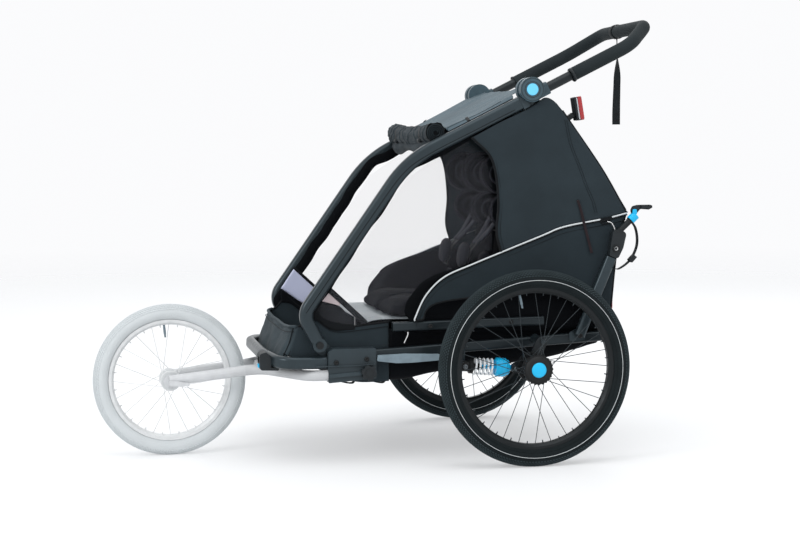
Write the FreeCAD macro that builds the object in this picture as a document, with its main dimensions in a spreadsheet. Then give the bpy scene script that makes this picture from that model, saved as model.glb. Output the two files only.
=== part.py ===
"""Two-seat child bicycle trailer with a suspended axle, a folding roof frame and a jogger wheel.

Millimetres. X runs rearwards, Y to the trailer's right-hand side, Z up. Every sub-part is drawn
with the rear axle at x = 0 and then moved back by the sheet's axle_x, which puts the origin on
the ground at the middle of the whole trailer.
"""
import FreeCAD, Part
import Sketcher
import math
import os
import re

Vector = FreeCAD.Vector
Rotation = FreeCAD.Rotation
X_AXIS, Y_AXIS, Z_AXIS = Vector(1, 0, 0), Vector(0, 1, 0), Vector(0, 0, 1)
LEFT, RIGHT = -1, 1
SIDES = {"left": LEFT, "right": RIGHT}

SIZES = {
    # whole trailer
    "axle_x": 355.3,
    "wheel_track": 794,
    # rear wheel, 20 inch
    "wheel_radius": 253,
    "tyre_section": 25,
    "rim_outer": 209,
    "rim_inner": 195,
    "rim_width": 26,
    "hub_flange": 27,
    "hub_half": 33,
    "spoke_radius": 0.9,
    # jogger wheel, 16 inch
    "front_radius": 202.5,
    "front_section": 21,
    "front_rim_outer": 163,
    "front_rim_inner": 149,
    "front_axle_x": -904,
    "front_hub_half": 40,
    # lateral layers, each a distance from the middle plane
    "roof_half": 270,
    "panel_half": 243,
    "post_half": 319,
    "arm_half": 334,
    "receiver_half": 273,
    "seat_half": 205,
    # stock sections
    "tube_deep": 35.5,
    "tube_wide": 30,
    "tube_wall": 2,
    "rail_deep": 27,
    "rail_wide": 25,
    "fork_radius": 14,
    "grip_radius": 19,
    "handle_radius": 16,
    "cloth": 4,
    "running_gap": 0.3,
    "pin_gap": 0.05,
    # handlebar joint
    "disc_radius": 32.5,
    "disc_thick": 13,
    "button_radius": 15.5,
    "button_travel": 4,
    # suspension
    "carrier_radius": 38,
    "axle_radius": 6,
    "spring_radius": 20,
    "spring_wire": 2.6,
    "cup_radius": 24,
    "damper_radius": 18,
}

# side-view places (x, z) of the joints
PILLAR_PIVOT = (-540, 316)
HANDLE_PIVOT = (24, 969)
STRUT_PIVOT = (62, 925)
STRUT_FOOT = (262, 612)
LEVER_PIVOT = (303, 640)
POST_RIVET = (250, 551)
ARM_PIVOT = (34, 316)
DAMPER_PIVOT = (-172, 257)
CUP_PIVOT = (-37, 248)
KNOB_CENTRE = (-416, 243)
RECEIVER_MOUTH = (-519, 237)
RECEIVER_END = (-402, 243)
PEDAL_X = 240

doc = FreeCAD.newDocument("child_trailer")
sheet = doc.addObject("Spreadsheet::Sheet", "sizes")
for row, (alias, number) in enumerate(SIZES.items(), 1):
    sheet.set(f"A{row}", alias)
    sheet.set(f"B{row}", str(number))
    sheet.setAlias(f"B{row}", alias)
doc.recompute()
PIECES = []


# ---------------------------------------------------------------- expressions and placement
def size(alias):
    """The number in a sheet cell."""
    return float(getattr(sheet, alias))


def formula(text):
    """An expression whose bare aliases are looked up in the sheet."""
    return re.sub(r"[a-z]+(_[a-z]+)+|cloth", lambda word: "sizes." + word.group(), str(text))


def bind(thing, prop, value):
    """Set a property to a number, or bind it to a formula over the sheet."""
    if isinstance(value, str):
        thing.setExpression(prop, formula(value))
    else:
        setattr(thing, prop, value)


def place(thing, at=(0, 0, 0), turn=None):
    """Put a shape at a place whose coordinates may be formulas."""
    numbers = [0 if isinstance(value, str) else value for value in at]
    thing.Placement = FreeCAD.Placement(Vector(*numbers), turn or Rotation())
    for letter, value in zip("xyz", at):
        if isinstance(value, str):
            thing.setExpression(f"Placement.Base.{letter}", formula(value))
    return thing


def sub_part(thing, label, at=("axle_x", 0, 0), turn=None):
    """Register a finished sub-part under its own name."""
    place(thing, at, turn)
    thing.Label = label
    PIECES.append(thing)
    return thing


# ---------------------------------------------------------------- outlines
def rounded(points, radii, closed=True):
    """Line and arc edges through points, with each corner rounded to its radius."""
    corners = [Vector(*p) for p in points]
    last = len(corners) - 1
    stops = []
    for i, corner in enumerate(corners):
        radius = radii[i] if isinstance(radii, (list, tuple)) else radii
        if not radius or (not closed and i in (0, last)):
            stops.append((corner, None, corner))
            continue
        back = (corners[i - 1] - corner).normalize()
        ahead = (corners[(i + 1) % len(corners)] - corner).normalize()
        half = back.getAngle(ahead) / 2
        if half > math.radians(89.9):
            stops.append((corner, None, corner))
            continue
        reach = radius / math.tan(half)
        inward = (back + ahead).normalize()
        middle = corner + inward * (radius / math.sin(half) - radius)
        stops.append((corner + back * reach, middle, corner + ahead * reach))
    edges = []
    for i, (start, middle, end) in enumerate(stops):
        if middle:
            edges.append(Part.Arc(start, middle, end).toShape())
        if i == last and not closed:
            break
        following = stops[(i + 1) % len(stops)][0]
        if (following - end).Length > 1e-4:
            edges.append(Part.LineSegment(end, following).toShape())
    return edges


def side_outline(points, radii=0):
    """A closed outline in the side view, as a wire in the plane y = 0."""
    return Part.Wire(rounded([(x, 0, z) for x, z in points], radii))


def rectangle_at(centre, across, up, width, height, corner):
    """A rounded rectangle wire, width along across and height along up."""
    centre, across, up = Vector(*centre), Vector(*across), Vector(*up)
    a, b = across * (width / 2), up * (height / 2)
    points = [centre - a - b, centre + a - b, centre + a + b, centre - a + b]
    return Part.Wire(rounded([tuple(p) for p in points], corner))


# ---------------------------------------------------------------- solids
def feature(name, shape):
    """A document object that holds a shape made by Part's own functions."""
    thing = doc.addObject("Part::Feature", name)
    thing.Shape = shape
    return thing


def slab(points, radii, inner, outer):
    """A side-view outline extruded sideways from y = inner to y = outer."""
    face = Part.Face(side_outline(points, radii))
    face.translate(Vector(0, inner, 0))
    return face.extrude(Vector(0, outer - inner, 0))


def sheet_slab(line, thick, inner, outer, radii=0):
    """A thin sheet that follows a side-view line, its thickness below or behind the line."""
    edges = Part.Wire(rounded([(x, 0, z) for x, z in line], radii, closed=False))
    offset = edges.makeOffset2D(thick, openResult=True, fill=True)
    face = Part.Face(offset) if offset.ShapeType == "Wire" else offset
    face.translate(Vector(0, inner, 0))
    return face.extrude(Vector(0, outer - inner, 0))


def bent_bar(points, radii, width, height, corner, across=Y_AXIS):
    """A solid bar of rounded rectangular section along a path; across is its sideways direction."""
    path = Part.Wire(rounded(points, radii, closed=False))
    start = Vector(*points[0])
    ahead = (Vector(*points[1]) - start).normalize()
    up = ahead.cross(across).normalize()
    section = rectangle_at(start, across, up, width, height, corner)
    return path.makePipeShell([section], True, False)


def bent_tube(points, radii, width, height, corner, wall, across=Y_AXIS):
    """A hollow tube of rounded rectangular section along a path."""
    outer = bent_bar(points, radii, width, height, corner, across)
    trim = 2 * wall
    inner = bent_bar(points, radii, width - trim, height - trim, corner - wall, across)
    return outer.cut(inner)


def round_bar(points, radii, radius):
    """A round bar along a path."""
    path = Part.Wire(rounded(points, radii, closed=False))
    start = Vector(*points[0])
    ahead = (Vector(*points[1]) - start).normalize()
    section = Part.Wire(Part.makeCircle(radius, start, ahead))
    return path.makePipeShell([section], True, False)


def cross_pin(x, z, inner, outer, radius):
    """A cylinder along Y from y = inner to y = outer."""
    return Part.makeCylinder(radius, outer - inner, Vector(x, inner, z), Y_AXIS)


def block(low, high, round_radius=0):
    """A box between two corners, with its edges rounded."""
    span = [h - l for l, h in zip(low, high)]
    solid = Part.makeBox(*span, Vector(*low))
    return solid.makeFillet(round_radius, solid.Edges) if round_radius else solid


def largest(shape):
    """The biggest solid of a shape, without the crumbs that a cut leaves."""
    return max(shape.Solids, key=lambda solid: solid.Volume)


def mirrored(shape):
    """The same shape on the other side of the middle plane."""
    return shape.mirror(Vector(0, 0, 0), Y_AXIS)


def both_sides(shapes):
    """A right-hand shape or list of shapes with its left-hand mirror image, as one group."""
    solids = shapes if isinstance(shapes, list) else [shapes]
    return Part.makeCompound(solids + [mirrored(s) for s in solids])


def on_side(shape, side):
    """A right-hand shape, mirrored if it is for the left."""
    return shape if side == RIGHT else mirrored(shape)


def cylinder(name, radius, length, at=(0, 0, 0), turn=None):
    """A cylinder primitive whose sizes are bound to the sheet."""
    thing = doc.addObject("Part::Cylinder", name)
    bind(thing, "Radius", radius)
    bind(thing, "Height", length)
    return place(thing, at, turn)


def torus(name, ring, section, at=(0, 0, 0)):
    """A ring primitive whose sizes are bound to the sheet."""
    thing = doc.addObject("Part::Torus", name)
    bind(thing, "Radius1", ring)
    bind(thing, "Radius2", section)
    return place(thing, at)


def cut(name, base, tool):
    """Base without tool."""
    thing = doc.addObject("Part::Cut", name)
    thing.Base, thing.Tool = base, tool
    return thing


def turned(name, profile, angle=360):
    """A PartDesign revolution about Z of (radius, height) points given as formulas."""
    body = doc.addObject("PartDesign::Body", name)
    sketch = body.newObject("Sketcher::SketchObject", name + "_sketch")
    plane = next(f for f in body.Origin.OriginFeatures if f.Role == "XZ_Plane")
    sketch.AttachmentSupport = [(plane, "")]
    sketch.MapMode = "FlatFace"
    doc.recompute()
    numbers = [[float(sheet.evalExpression(formula(v))) for v in point] for point in profile]
    places = [Vector(r, z, 0) for r, z in numbers]
    for start, end in zip(places, places[1:] + places[:1]):
        sketch.addGeometry(Part.LineSegment(start, end), False)
    sketch_constraints(sketch, profile, numbers)
    turn = body.newObject("PartDesign::Revolution", name + "_turn")
    turn.Profile = sketch
    turn.ReferenceAxis = (sketch, ["V_Axis"])
    turn.Angle = angle
    return body


def sketch_constraints(sketch, profile, numbers):
    """Join the sketch's lines end to end and bind each corner's two distances."""
    count = len(profile)
    for i in range(count):
        sketch.addConstraint(Sketcher.Constraint("Coincident", i, 2, (i + 1) % count, 1))
    for i, (point, number) in enumerate(zip(profile, numbers)):
        for kind, text, value in zip(("DistanceX", "DistanceY"), point, number):
            index = sketch.addConstraint(Sketcher.Constraint(kind, -1, 1, i, 1, value))
            if isinstance(text, str):
                sketch.setExpression(f"Constraints[{index}]", formula(text))


# ---------------------------------------------------------------- wheels, drawn about Z
def wheel_tyre(name, radius, section, rim):
    """A hollow tyre that opens onto the rim."""
    ring = f"{radius} - {section}"
    casing = torus(name + "_casing", ring, section)
    hollow = torus(name + "_hollow", ring, f"{section} - cloth")
    inside = cylinder(name + "_inside", rim, 80, (0, 0, -40))
    return cut(name, cut(name + "_shell", casing, hollow), inside)


def wheel_rim(name, outer, inner):
    """A box rim with a well for the tyre."""
    half = "rim_width/2"
    right = [
        (inner, "rim_width/2 - 6"),
        (f"{inner} + 6", f"{half} - 0.5"),
        (outer, half),
        (outer, f"{half} - 2"),
        (f"{outer} - 6", f"{half} - 3"),
    ]
    left = [(radius, f"-({height})") for radius, height in reversed(right)]
    return turned(name, right + left)


def wheel_spokes(count, flange, offset, rim, lean):
    """Crossed spokes from the two hub flanges to the rim, as separate solids."""
    spokes = []
    for i in range(count):
        at_rim = 2 * math.pi * i / count
        side = 1 if i % 2 else -1
        at_hub = at_rim + math.radians(lean) * (1 if i % 4 < 2 else -1)
        start = Vector(flange * math.cos(at_hub), flange * math.sin(at_hub), side * offset)
        end = Vector(rim * math.cos(at_rim), rim * math.sin(at_rim), side * 2)
        way = end - start
        spokes.append(Part.makeCylinder(size("spoke_radius"), way.Length, start, way))
    return Part.makeCompound(spokes)


def rear_hub(name):
    """Hub shell with two flanges, a brake ring inside and a domed cap outside."""
    profile = [
        ("axle_radius + pin_gap", "-hub_half - 7"),
        (38, "-hub_half - 7"),
        (38, "-hub_half"),
        (17, "-hub_half"),
        (17, "-hub_half + 4"),
        ("hub_flange", "-hub_half + 4"),
        ("hub_flange", "-hub_half + 8"),
        (14, "-hub_half + 12"),
        (14, "hub_half - 12"),
        ("hub_flange", "hub_half - 8"),
        ("hub_flange", "hub_half - 4"),
        (21.5, "hub_half - 4"),
        (21.5, "hub_half"),
        (15.5, "hub_half + 2"),
        (12, "hub_half + 5"),
        (6, "hub_half + 6.5"),
        (0, "hub_half + 7"),
        (0, "hub_half - 12"),
        ("axle_radius + pin_gap", "hub_half - 12"),
    ]
    hub = turned(name + "_shell", profile)
    holes = [
        Part.makeCylinder(3.6, 9, Vector(31 * math.cos(a), 31 * math.sin(a), -size("hub_half") - 8))
        for a in [math.radians(30 * i) for i in range(12)]
    ]
    return cut(name, hub, feature(name + "_brake_holes", Part.makeCompound(holes)))


def rear_wheel(side_name, side):
    """Tyre, rim, spokes and hub of one rear wheel."""
    at = ("axle_x", f"{side} * wheel_track/2", "wheel_radius")
    turn = Rotation(X_AXIS, -90 * side)
    prefix = side_name + "_"
    tyre = wheel_tyre(prefix + "casing", "wheel_radius", "tyre_section", "rim_outer")
    sub_part(tyre, prefix + "tyre", at, turn)
    rim = wheel_rim(prefix + "rim_body", "rim_outer", "rim_inner")
    sub_part(rim, prefix + "rim", at, turn)
    flange = size("hub_flange") - 3
    spokes = wheel_spokes(28, flange, size("hub_half") - 6, size("rim_inner") + 0.5, 52)
    sub_part(feature(prefix + "spoke_set", spokes), prefix + "spokes", at, turn)
    sub_part(rear_hub(prefix + "hub_body"), prefix + "hub", at, turn)


def front_wheel():
    """Tyre, rim, spokes and hub of the jogger wheel."""
    at = ("axle_x + front_axle_x", 0, "front_radius")
    turn = Rotation(X_AXIS, -90)
    tyre = wheel_tyre("front_casing", "front_radius", "front_section", "front_rim_outer")
    sub_part(tyre, "front_tyre", at, turn)
    rim = wheel_rim("front_rim_body", "front_rim_outer", "front_rim_inner")
    sub_part(rim, "front_rim", at, turn)
    spokes = wheel_spokes(20, 24, 30, size("front_rim_inner") + 0.5, 40)
    sub_part(feature("front_spoke_set", spokes), "front_spokes", at, turn)
    bore = "axle_radius + pin_gap"
    half = "front_hub_half"
    profile = [(bore, f"-{half}"), (14, f"-{half}"), (16, f"-{half} + 7"), (27, f"-{half} + 8")]
    profile += [(27, f"-{half} + 12"), (14, f"-{half} + 16")]
    profile += [(radius, height.replace("-", "", 1).replace("+", "-")) for radius, height in profile[::-1]]
    sub_part(turned("front_hub_body", profile), "front_hub", at, turn)


# ---------------------------------------------------------------- chassis
def rail_height(x):
    """Height of the side rail's centre line at x."""
    return 281 + (x + 520) * 36 / 745


def side_rails():
    """The two long lower rails."""
    outer = size("receiver_half") - 5
    ends = [(x, outer, rail_height(x)) for x in (-520, 255)]
    rail = bent_tube(ends, 0, size("rail_wide") - 1, size("rail_deep"), 7, size("tube_wall"))
    sub_part(feature("side_rail_pair", both_sides(rail)), "side_rails")


BUMPER_ROUTE = [(-520.6, 268, 269), (-640, 268, 271), (-668, 150, 279)]
BUMPER_ROUTE += [(x, -y, z) for x, y, z in reversed(BUMPER_ROUTE)]
BUMPER_BENDS = [0, 48, 160, 160, 48, 0]


def front_bumper():
    """The tube that runs round the front of the footwell between the two castings."""
    bumper = bent_tube(BUMPER_ROUTE, BUMPER_BENDS, 24, 33, 11, size("tube_wall"))
    sub_part(feature("bumper_tube", bumper), "front_bumper")


def cross_members():
    """Cross tubes between the rails, and the outboard bosses that carry the suspension."""
    inner = size("receiver_half") - 17.5
    solids = []
    for x in (ARM_PIVOT[0], PEDAL_X):
        z = rail_height(x)
        solids.append(cross_pin(x, z, -inner, inner, 10).cut(cross_pin(x, z, -inner, inner, 8)))
    rail_face = size("receiver_half") + 7.2
    px, pz = ARM_PIVOT
    boss = cross_pin(px, pz, rail_face, 343, 12)
    stub = cross_pin(px, pz, 343, 358, size("axle_radius"))
    dx, dz = DAMPER_PIVOT
    hanger_outline = [(dx - 14, 312), (dx - 14, dz - 12), (dx + 14, dz - 12), (dx + 14, 312)]
    hanger = slab(hanger_outline, 5, rail_face, 290)
    damper_pin = cross_pin(dx, dz, 290, 345, 5)
    solids += [boss.fuse(stub), mirrored(boss.fuse(stub))]
    solids += [hanger.fuse(damper_pin), mirrored(hanger.fuse(damper_pin))]
    sub_part(feature("cross_member_set", Part.makeCompound(solids)), "cross_members")


def receiver_castings():
    """Castings clamped round the rails: pillar lug, rail sleeve and receiver for the jogger arm."""
    middle = size("receiver_half")
    inner, outer = middle - 20.5, middle + 17.5
    profile = [(-519, 218), (-394, 226), (-394, 305), (-506, 306), (-519, 300)]
    body = slab(profile, [3, 3, 5, 5, 5], inner, outer)
    ridge = slab([(-518, 231), (-394, 239), (-394, 249), (-518, 241)], 2, outer, outer + 3)
    px, pz = PILLAR_PIVOT
    lug_shape = [(px - 14, pz - 12), (px - 6, pz + 15), (px + 12, pz + 13), (-500, 300), (-506, 262)]
    lug = slab(lug_shape, [12, 12, 8, 3, 8], inner - 4, inner + 1)
    casting = body.fuse([ridge, lug])
    rail = [(x, middle - 5, rail_height(x)) for x in (-530, -380)]
    socket = bent_bar(rail, 0, size("rail_wide") - 1, size("rail_deep"), 7)
    (mx, mz), (ex, ez) = RECEIVER_MOUTH, RECEIVER_END
    way = Vector(ex - mx, 0, ez - mz)
    bore_radius = size("fork_radius") + size("running_gap")
    arm_hole = Part.makeCylinder(bore_radius, 2 * way.Length, Vector(mx, middle, mz) - way * 0.5, way)
    kx, kz = KNOB_CENTRE
    knob_hole = cross_pin(kx, kz, middle + 10, outer + 4, 4 + size("pin_gap"))
    bolt_hole = cross_pin(px, pz, inner - 5, inner + 2, 5)
    casting = casting.cut([socket, arm_hole, knob_hole, bolt_hole])
    sub_part(feature("casting_pair", both_sides(casting)), "receiver_castings")


def frame_bolts():
    """Pillar pivot bolts, casting bolts, seat-rail bolts and knuckle rivets."""
    px, pz = PILLAR_PIVOT
    inner = size("receiver_half") - 24.5
    solids = [cross_pin(px, pz, inner, 286.5, 5).fuse(cross_pin(px, pz, 286.5, 291, 9.5))]
    casting_face = size("receiver_half") + 17.5
    for x, z in ((-499, 271), (-419.5, 277.5)):
        solids.append(cross_pin(x, z, casting_face, casting_face + 3, 6))
    solids.append(cross_pin(-248, 357, 279.6, 282, 5.5))
    nx, nz = POST_RIVET
    outer = size("post_half") - 13
    rivet = cross_pin(nx, nz, outer, outer + 2.5, 9.5).cut(cross_pin(nx, nz, outer, outer + 3, 5))
    solids.append(rivet)
    sub_part(feature("bolt_set", both_sides(solids)), "frame_bolts")


def step_plates():
    """Grey plastic steps clipped under the rails behind the castings."""
    outline = [(-392, 271), (-390, 286), (-318, 288), (-224, 284), (-222, 268), (-300, 264)]
    outline += [(-340, 264)]
    plate = slab(outline, [4, 2, 6, 6, 5, 20, 20], 257, 289)
    rail_start, rail_end = (-400, 268, rail_height(-400)), (-200, 268, rail_height(-200))
    rail = bent_bar([rail_start, rail_end], 0, 24.6, 27.6, 7)
    sub_part(feature("step_pair", both_sides(plate.cut(rail))), "step_plates")


def hitch_receptor():
    """The socket on the left of the bumper that takes the tow bar."""
    outline = [(-688, 250), (-690, 292), (-672, 297), (-640, 254), (-640, 248)]
    body = slab(outline, [6, 8, 5, 3, 3], -236, -186)
    bumper = bent_bar(BUMPER_ROUTE, BUMPER_BENDS, 24.6, 33.6, 11.3)
    mouth = block((-700, -226, 268), (-675, -196, 284))
    button_hole = block((-700, -219.3, 254.7), (-673, -202.7, 265.3))
    behind = slab([(-660, 256), (-660, 300), (-600, 300), (-600, 256)], 0, -240, -180)
    body = largest(body.cut([bumper, behind, mouth, button_hole]))
    sub_part(feature("receptor", body), "hitch_receptor")
    button = block((-692, -219, 255), (-677, -203, 265), 1.5)
    sub_part(feature("receptor_button", button), "hitch_button")


def seat_rails():
    """Light rails along the seat edge, each with a cross tube end."""
    middle = 268.5
    rail = bent_tube([(-347, middle, 357), (60, middle, 362)], 0, 22, 24, 6, size("tube_wall"))
    reach = middle - 11.1
    group = [rail, mirrored(rail)]
    for x in (-310, 40):
        group.append(cross_pin(x, 351, -reach, reach, 9).cut(cross_pin(x, 351, -reach, reach, 7)))
    sub_part(feature("seat_rail_pair", Part.makeCompound(group)), "seat_rails")


def footwell():
    """The open-topped fabric box for the feet."""
    outer = [(-634, 290), (-628, 300), (-615, 320), (-608, 345), (-606, 367), (-598, 366), (-580, 370)]
    outer += [(-562, 388), (-545, 394), (-518, 370), (-487, 358), (-448, 358), (-352, 368)]
    outer += [(-352, 212), (-430, 212), (-475, 226), (-560, 258)]
    inner = [(-626, 298), (-610, 322), (-603, 346), (-601, 450), (-340, 450), (-340, 217), (-430, 217)]
    inner += [(-474, 231), (-556, 263)]
    side = size("panel_half") + 4
    shell = slab(outer, 0, -side, side).cut(slab(inner, 0, -side + 4, side - 4))
    sub_part(feature("footwell_box", shell), "footwell")


def belly_tray():
    """The fabric-covered floor under the seats and the luggage space."""
    outer = [(-351, 330), (-351, 212), (-297, 212), (-216, 229), (71, 254), (163, 276)]
    outer += [(224, 291), (224, 330)]
    inner = [(-352, 340), (-352, 217), (-298, 217), (-217, 234), (70, 259), (162, 281)]
    inner += [(219, 295), (219, 340)]
    side = size("panel_half") + 4
    tray = slab(outer, 0, -side, side).cut(slab(inner, 0, -side + 4, side - 4))
    holes = [cross_pin(34, rail_height(34), -260, 260, 10.3)]
    sub_part(feature("tray", tray.cut(holes)), "belly_tray")


PIPING = [(-289, 381), (-261, 437), (-212, 484), (-136, 516), (-49, 549), (52, 587), (115, 610)]
PIPING += [(230, 630), (287, 643)]


def lower_panels():
    """The fabric sides below the reflective piping, and the wall behind the luggage space."""
    bottom = [(262, 560), (240, 400), (234, 341), (-200, 341), (-230, 371), (-292, 371)]
    panel = slab(PIPING + bottom, [0, 40, 60, 0, 0, 0, 0, 0, 6] + [0] * 6, 280.3, 283.3)
    wall = sheet_slab([(288, 648), (262, 555), (245, 400), (240, 335)], -3, -279, 279, 60)
    sub_part(feature("panel_set", Part.makeCompound([panel, mirrored(panel), wall])), "lower_panels")


HEAD_WINGS = [(-48, 752, 66), (-24, 652, 54)]


def seats():
    """Two seat cushions, two backrests with round wings beside the head, and the harness."""
    half = size("seat_half")
    cushion_outline = [(-356, 372), (-356, 392), (-300, 416), (-10, 400), (0, 372)]
    cushion = slab(cushion_outline, [10, 14, 60, 12, 10], 6, half)
    sub_part(feature("cushion_pair", both_sides(cushion)), "seat_cushions")
    back = [(-32, 410), (-8, 402), (22, 398), (96, 838), (58, 846), (30, 800), (0, 600)]
    rest = slab(back, [12, 10, 12, 12, 16, 60, 120], 6, half)
    for inner, outer in ((6, 30), (half - 24, half)):
        for x, z, radius in HEAD_WINGS:
            wing = cross_pin(x, z, inner, outer, radius)
            rest = rest.fuse([wing, slab([(x, z - 30), (30, z - 30), (40, z + 30), (x, z + 30)], 0, inner, outer)])
    sub_part(feature("backrest_pair", both_sides(rest)), "backrests")
    pads = []
    for middle in (60, 150):
        strap = sheet_slab([(21, 790), (-9, 600), (-40, 470)], 6, middle - 19, middle + 19, 80)
        pads.append(strap)
    buckle = slab([(-78, 440), (-60, 482), (-46, 482), (-46, 440)], 8, 83, 127)
    sub_part(feature("harness_set", both_sides(pads + [buckle])), "harness")


def rear_posts():
    """Posts from the rails to the rear knuckles, each with a foot plate on the rail."""
    inner = size("post_half") - 35
    outer = size("post_half") - 13
    middle = (inner + outer) / 2
    post = bent_tube([(152, middle, 322), (239, middle, 527)], 0, outer - inner, 29, 9, size("tube_wall"))
    foot = slab([(128, 306), (128, 330), (150, 339), (176, 336), (172, 308)], 6, 280.2, inner)
    sub_part(feature("post_pair", both_sides([post.fuse(foot)])), "rear_posts")


def rear_knuckles():
    """Plastic knuckles on the posts, with the stub that carries the release lever."""
    inner, outer = size("post_half") - 35, size("post_half") - 13
    outline = [(232, 530), (256, 524), (270, 552), (279, 590), (262, 603), (242, 598), (236, 562)]
    body = slab(outline, [5, 8, 10, 10, 8, 10, 20], inner, outer)
    post = bent_bar([(150, inner + 11, 317.3), (240, inner + 11, 529.4)], 0, outer - inner + 2, 29.2, 9)
    lx, lz = LEVER_PIVOT
    way = Vector(lx - 258, 0, lz - 6 - 592)
    stub = Part.makeCylinder(8, way.Length - 14, Vector(258, inner + 11, 592), way)
    sub_part(feature("knuckle_pair", both_sides([body.cut(post).fuse(stub)])), "rear_knuckles")


def release_levers():
    """Blue collars at the ends of the stubs, and the levers that turn on them."""
    middle = size("post_half") - 24
    lx, lz = LEVER_PIVOT
    way = Vector(lx - 258, 0, lz - 6 - 592).normalize()
    end = Vector(lx, middle, lz - 6)
    collar = Part.makeCylinder(12, 20, end - way * 14, way)
    slot = slab([(lx - 22, lz + 2), (lx + 30, lz + 2), (lx + 30, lz + 30), (lx - 22, lz + 30)], 0, 0, 400)
    collar = collar.cut(slot)
    pivot = cross_pin(lx, lz + 9, middle - 7, middle + 7, 2.5)
    ear = [(lx - 7, lz), (lx + 7, lz), (lx + 5, lz + 14), (lx - 5, lz + 14)]
    lugs = [slab(ear, 3, y, y + 3) for y in (middle - 7, middle + 4)]
    heel_room = cross_pin(lx, lz + 9, middle - 3.9, middle + 3.9, 11.5)
    collar = collar.cut(heel_room).fuse(lugs + [pivot])
    sub_part(feature("collar_pair", both_sides([collar])), "release_collars")
    grip = [(lx - 9, lz + 12), (lx - 4, lz + 22), (lx + 10, lz + 25), (lx + 46, lz + 25)]
    grip += [(lx + 50, lz + 17), (lx + 40, lz + 12), (lx + 16, lz + 14), (lx + 8, lz + 4), (lx - 8, lz + 4)]
    for side_name, side in SIDES.items():
        lever = slab(grip, [5, 5, 8, 4, 4, 6, 6, 3, 3], middle - 3.6, middle + 3.6)
        paddle = [(lx + 18, lz + 14), (lx + 18, lz + 24), (lx + 48, lz + 24), (lx + 48, lz + 16)]
        handle = slab(paddle, 3, middle - 9, middle + 9)
        lever = lever.fuse(handle).cut(cross_pin(lx, lz + 9, middle - 9, middle + 9, 2.5 + size("pin_gap")))
        sub_part(feature(side_name + "_lever", on_side(lever, side)), side_name + "_release_lever")


def tail_reflector():
    """Red reflector on the rear panel."""
    sub_part(feature("reflector", block((248.2, -262, 388), (256, -232, 412), 2)), "tail_reflector")


def brake_pedal():
    """The foot pedal of the parking brake, which turns on the rear cross tube."""
    x, z = PEDAL_X, rail_height(PEDAL_X)
    outline = [(x + 8, z - 9), (x + 8, z + 9), (x + 44, z + 20), (x + 50, z + 6), (x + 42, z - 1)]
    plate = slab(outline, [3, 3, 6, 6, 6], -245, -206)
    bore = cross_pin(x, z, -250, -200, 10 + size("pin_gap"))
    sub_part(feature("pedal", plate.fuse(cross_pin(x, z, -245, -206, 14)).cut(bore)), "brake_pedal")


# ---------------------------------------------------------------- suspension
def swing_arm(side_name, side):
    """The plate that carries a wheel's spindle and turns on the chassis boss."""
    px, pz = ARM_PIVOT
    sx, sz = CUP_PIVOT
    axle = size("wheel_radius")
    plate = cross_pin(0, axle, 346, 354, size("carrier_radius") - 6)
    outline = [(-16, axle - 8), (px - 17, pz + 4), (px - 4, pz + 17), (px + 14, pz + 3), (20, axle - 6)]
    lever = slab(outline, [10, 14, 14, 14, 10], 346, 354)
    nose_outline = [(sx - 12, sz - 10), (sx - 12, sz + 12), (0, axle + 26), (0, axle - 26)]
    nose = slab(nose_outline, [10, 10, 2, 2], 346, 354)
    spindle = cross_pin(0, axle, 350, 410, size("axle_radius"))
    eye_pin = cross_pin(sx, sz, 322, 350, 4)
    arm = plate.fuse([lever, nose, spindle, eye_pin])
    arm = arm.cut(cross_pin(px, pz, 340, 360, size("axle_radius") + size("pin_gap")))
    sub_part(feature(side_name + "_arm", on_side(arm, side)), side_name + "_swing_arm")


def along_shock(distance):
    """A side-view place on the shock's axis, measured back from the damper's pivot."""
    dx, dz = DAMPER_PIVOT
    cx, cz = CUP_PIVOT
    length = math.hypot(cx - dx, cz - dz)
    return dx + (cx - dx) * distance / length, dz + (cz - dz) * distance / length


def shock_cylinder(start, end, radius, end_radius=None):
    """A cylinder or cone along the shock's axis, in the plane of the right-hand shock."""
    (ax, az), (bx, bz) = along_shock(start), along_shock(end)
    middle = size("arm_half")
    way = Vector(bx - ax, 0, bz - az)
    if end_radius is None:
        return Part.makeCylinder(radius, way.Length, Vector(ax, middle, az), way)
    return Part.makeCone(radius, end_radius, way.Length, Vector(ax, middle, az), way)


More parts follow.
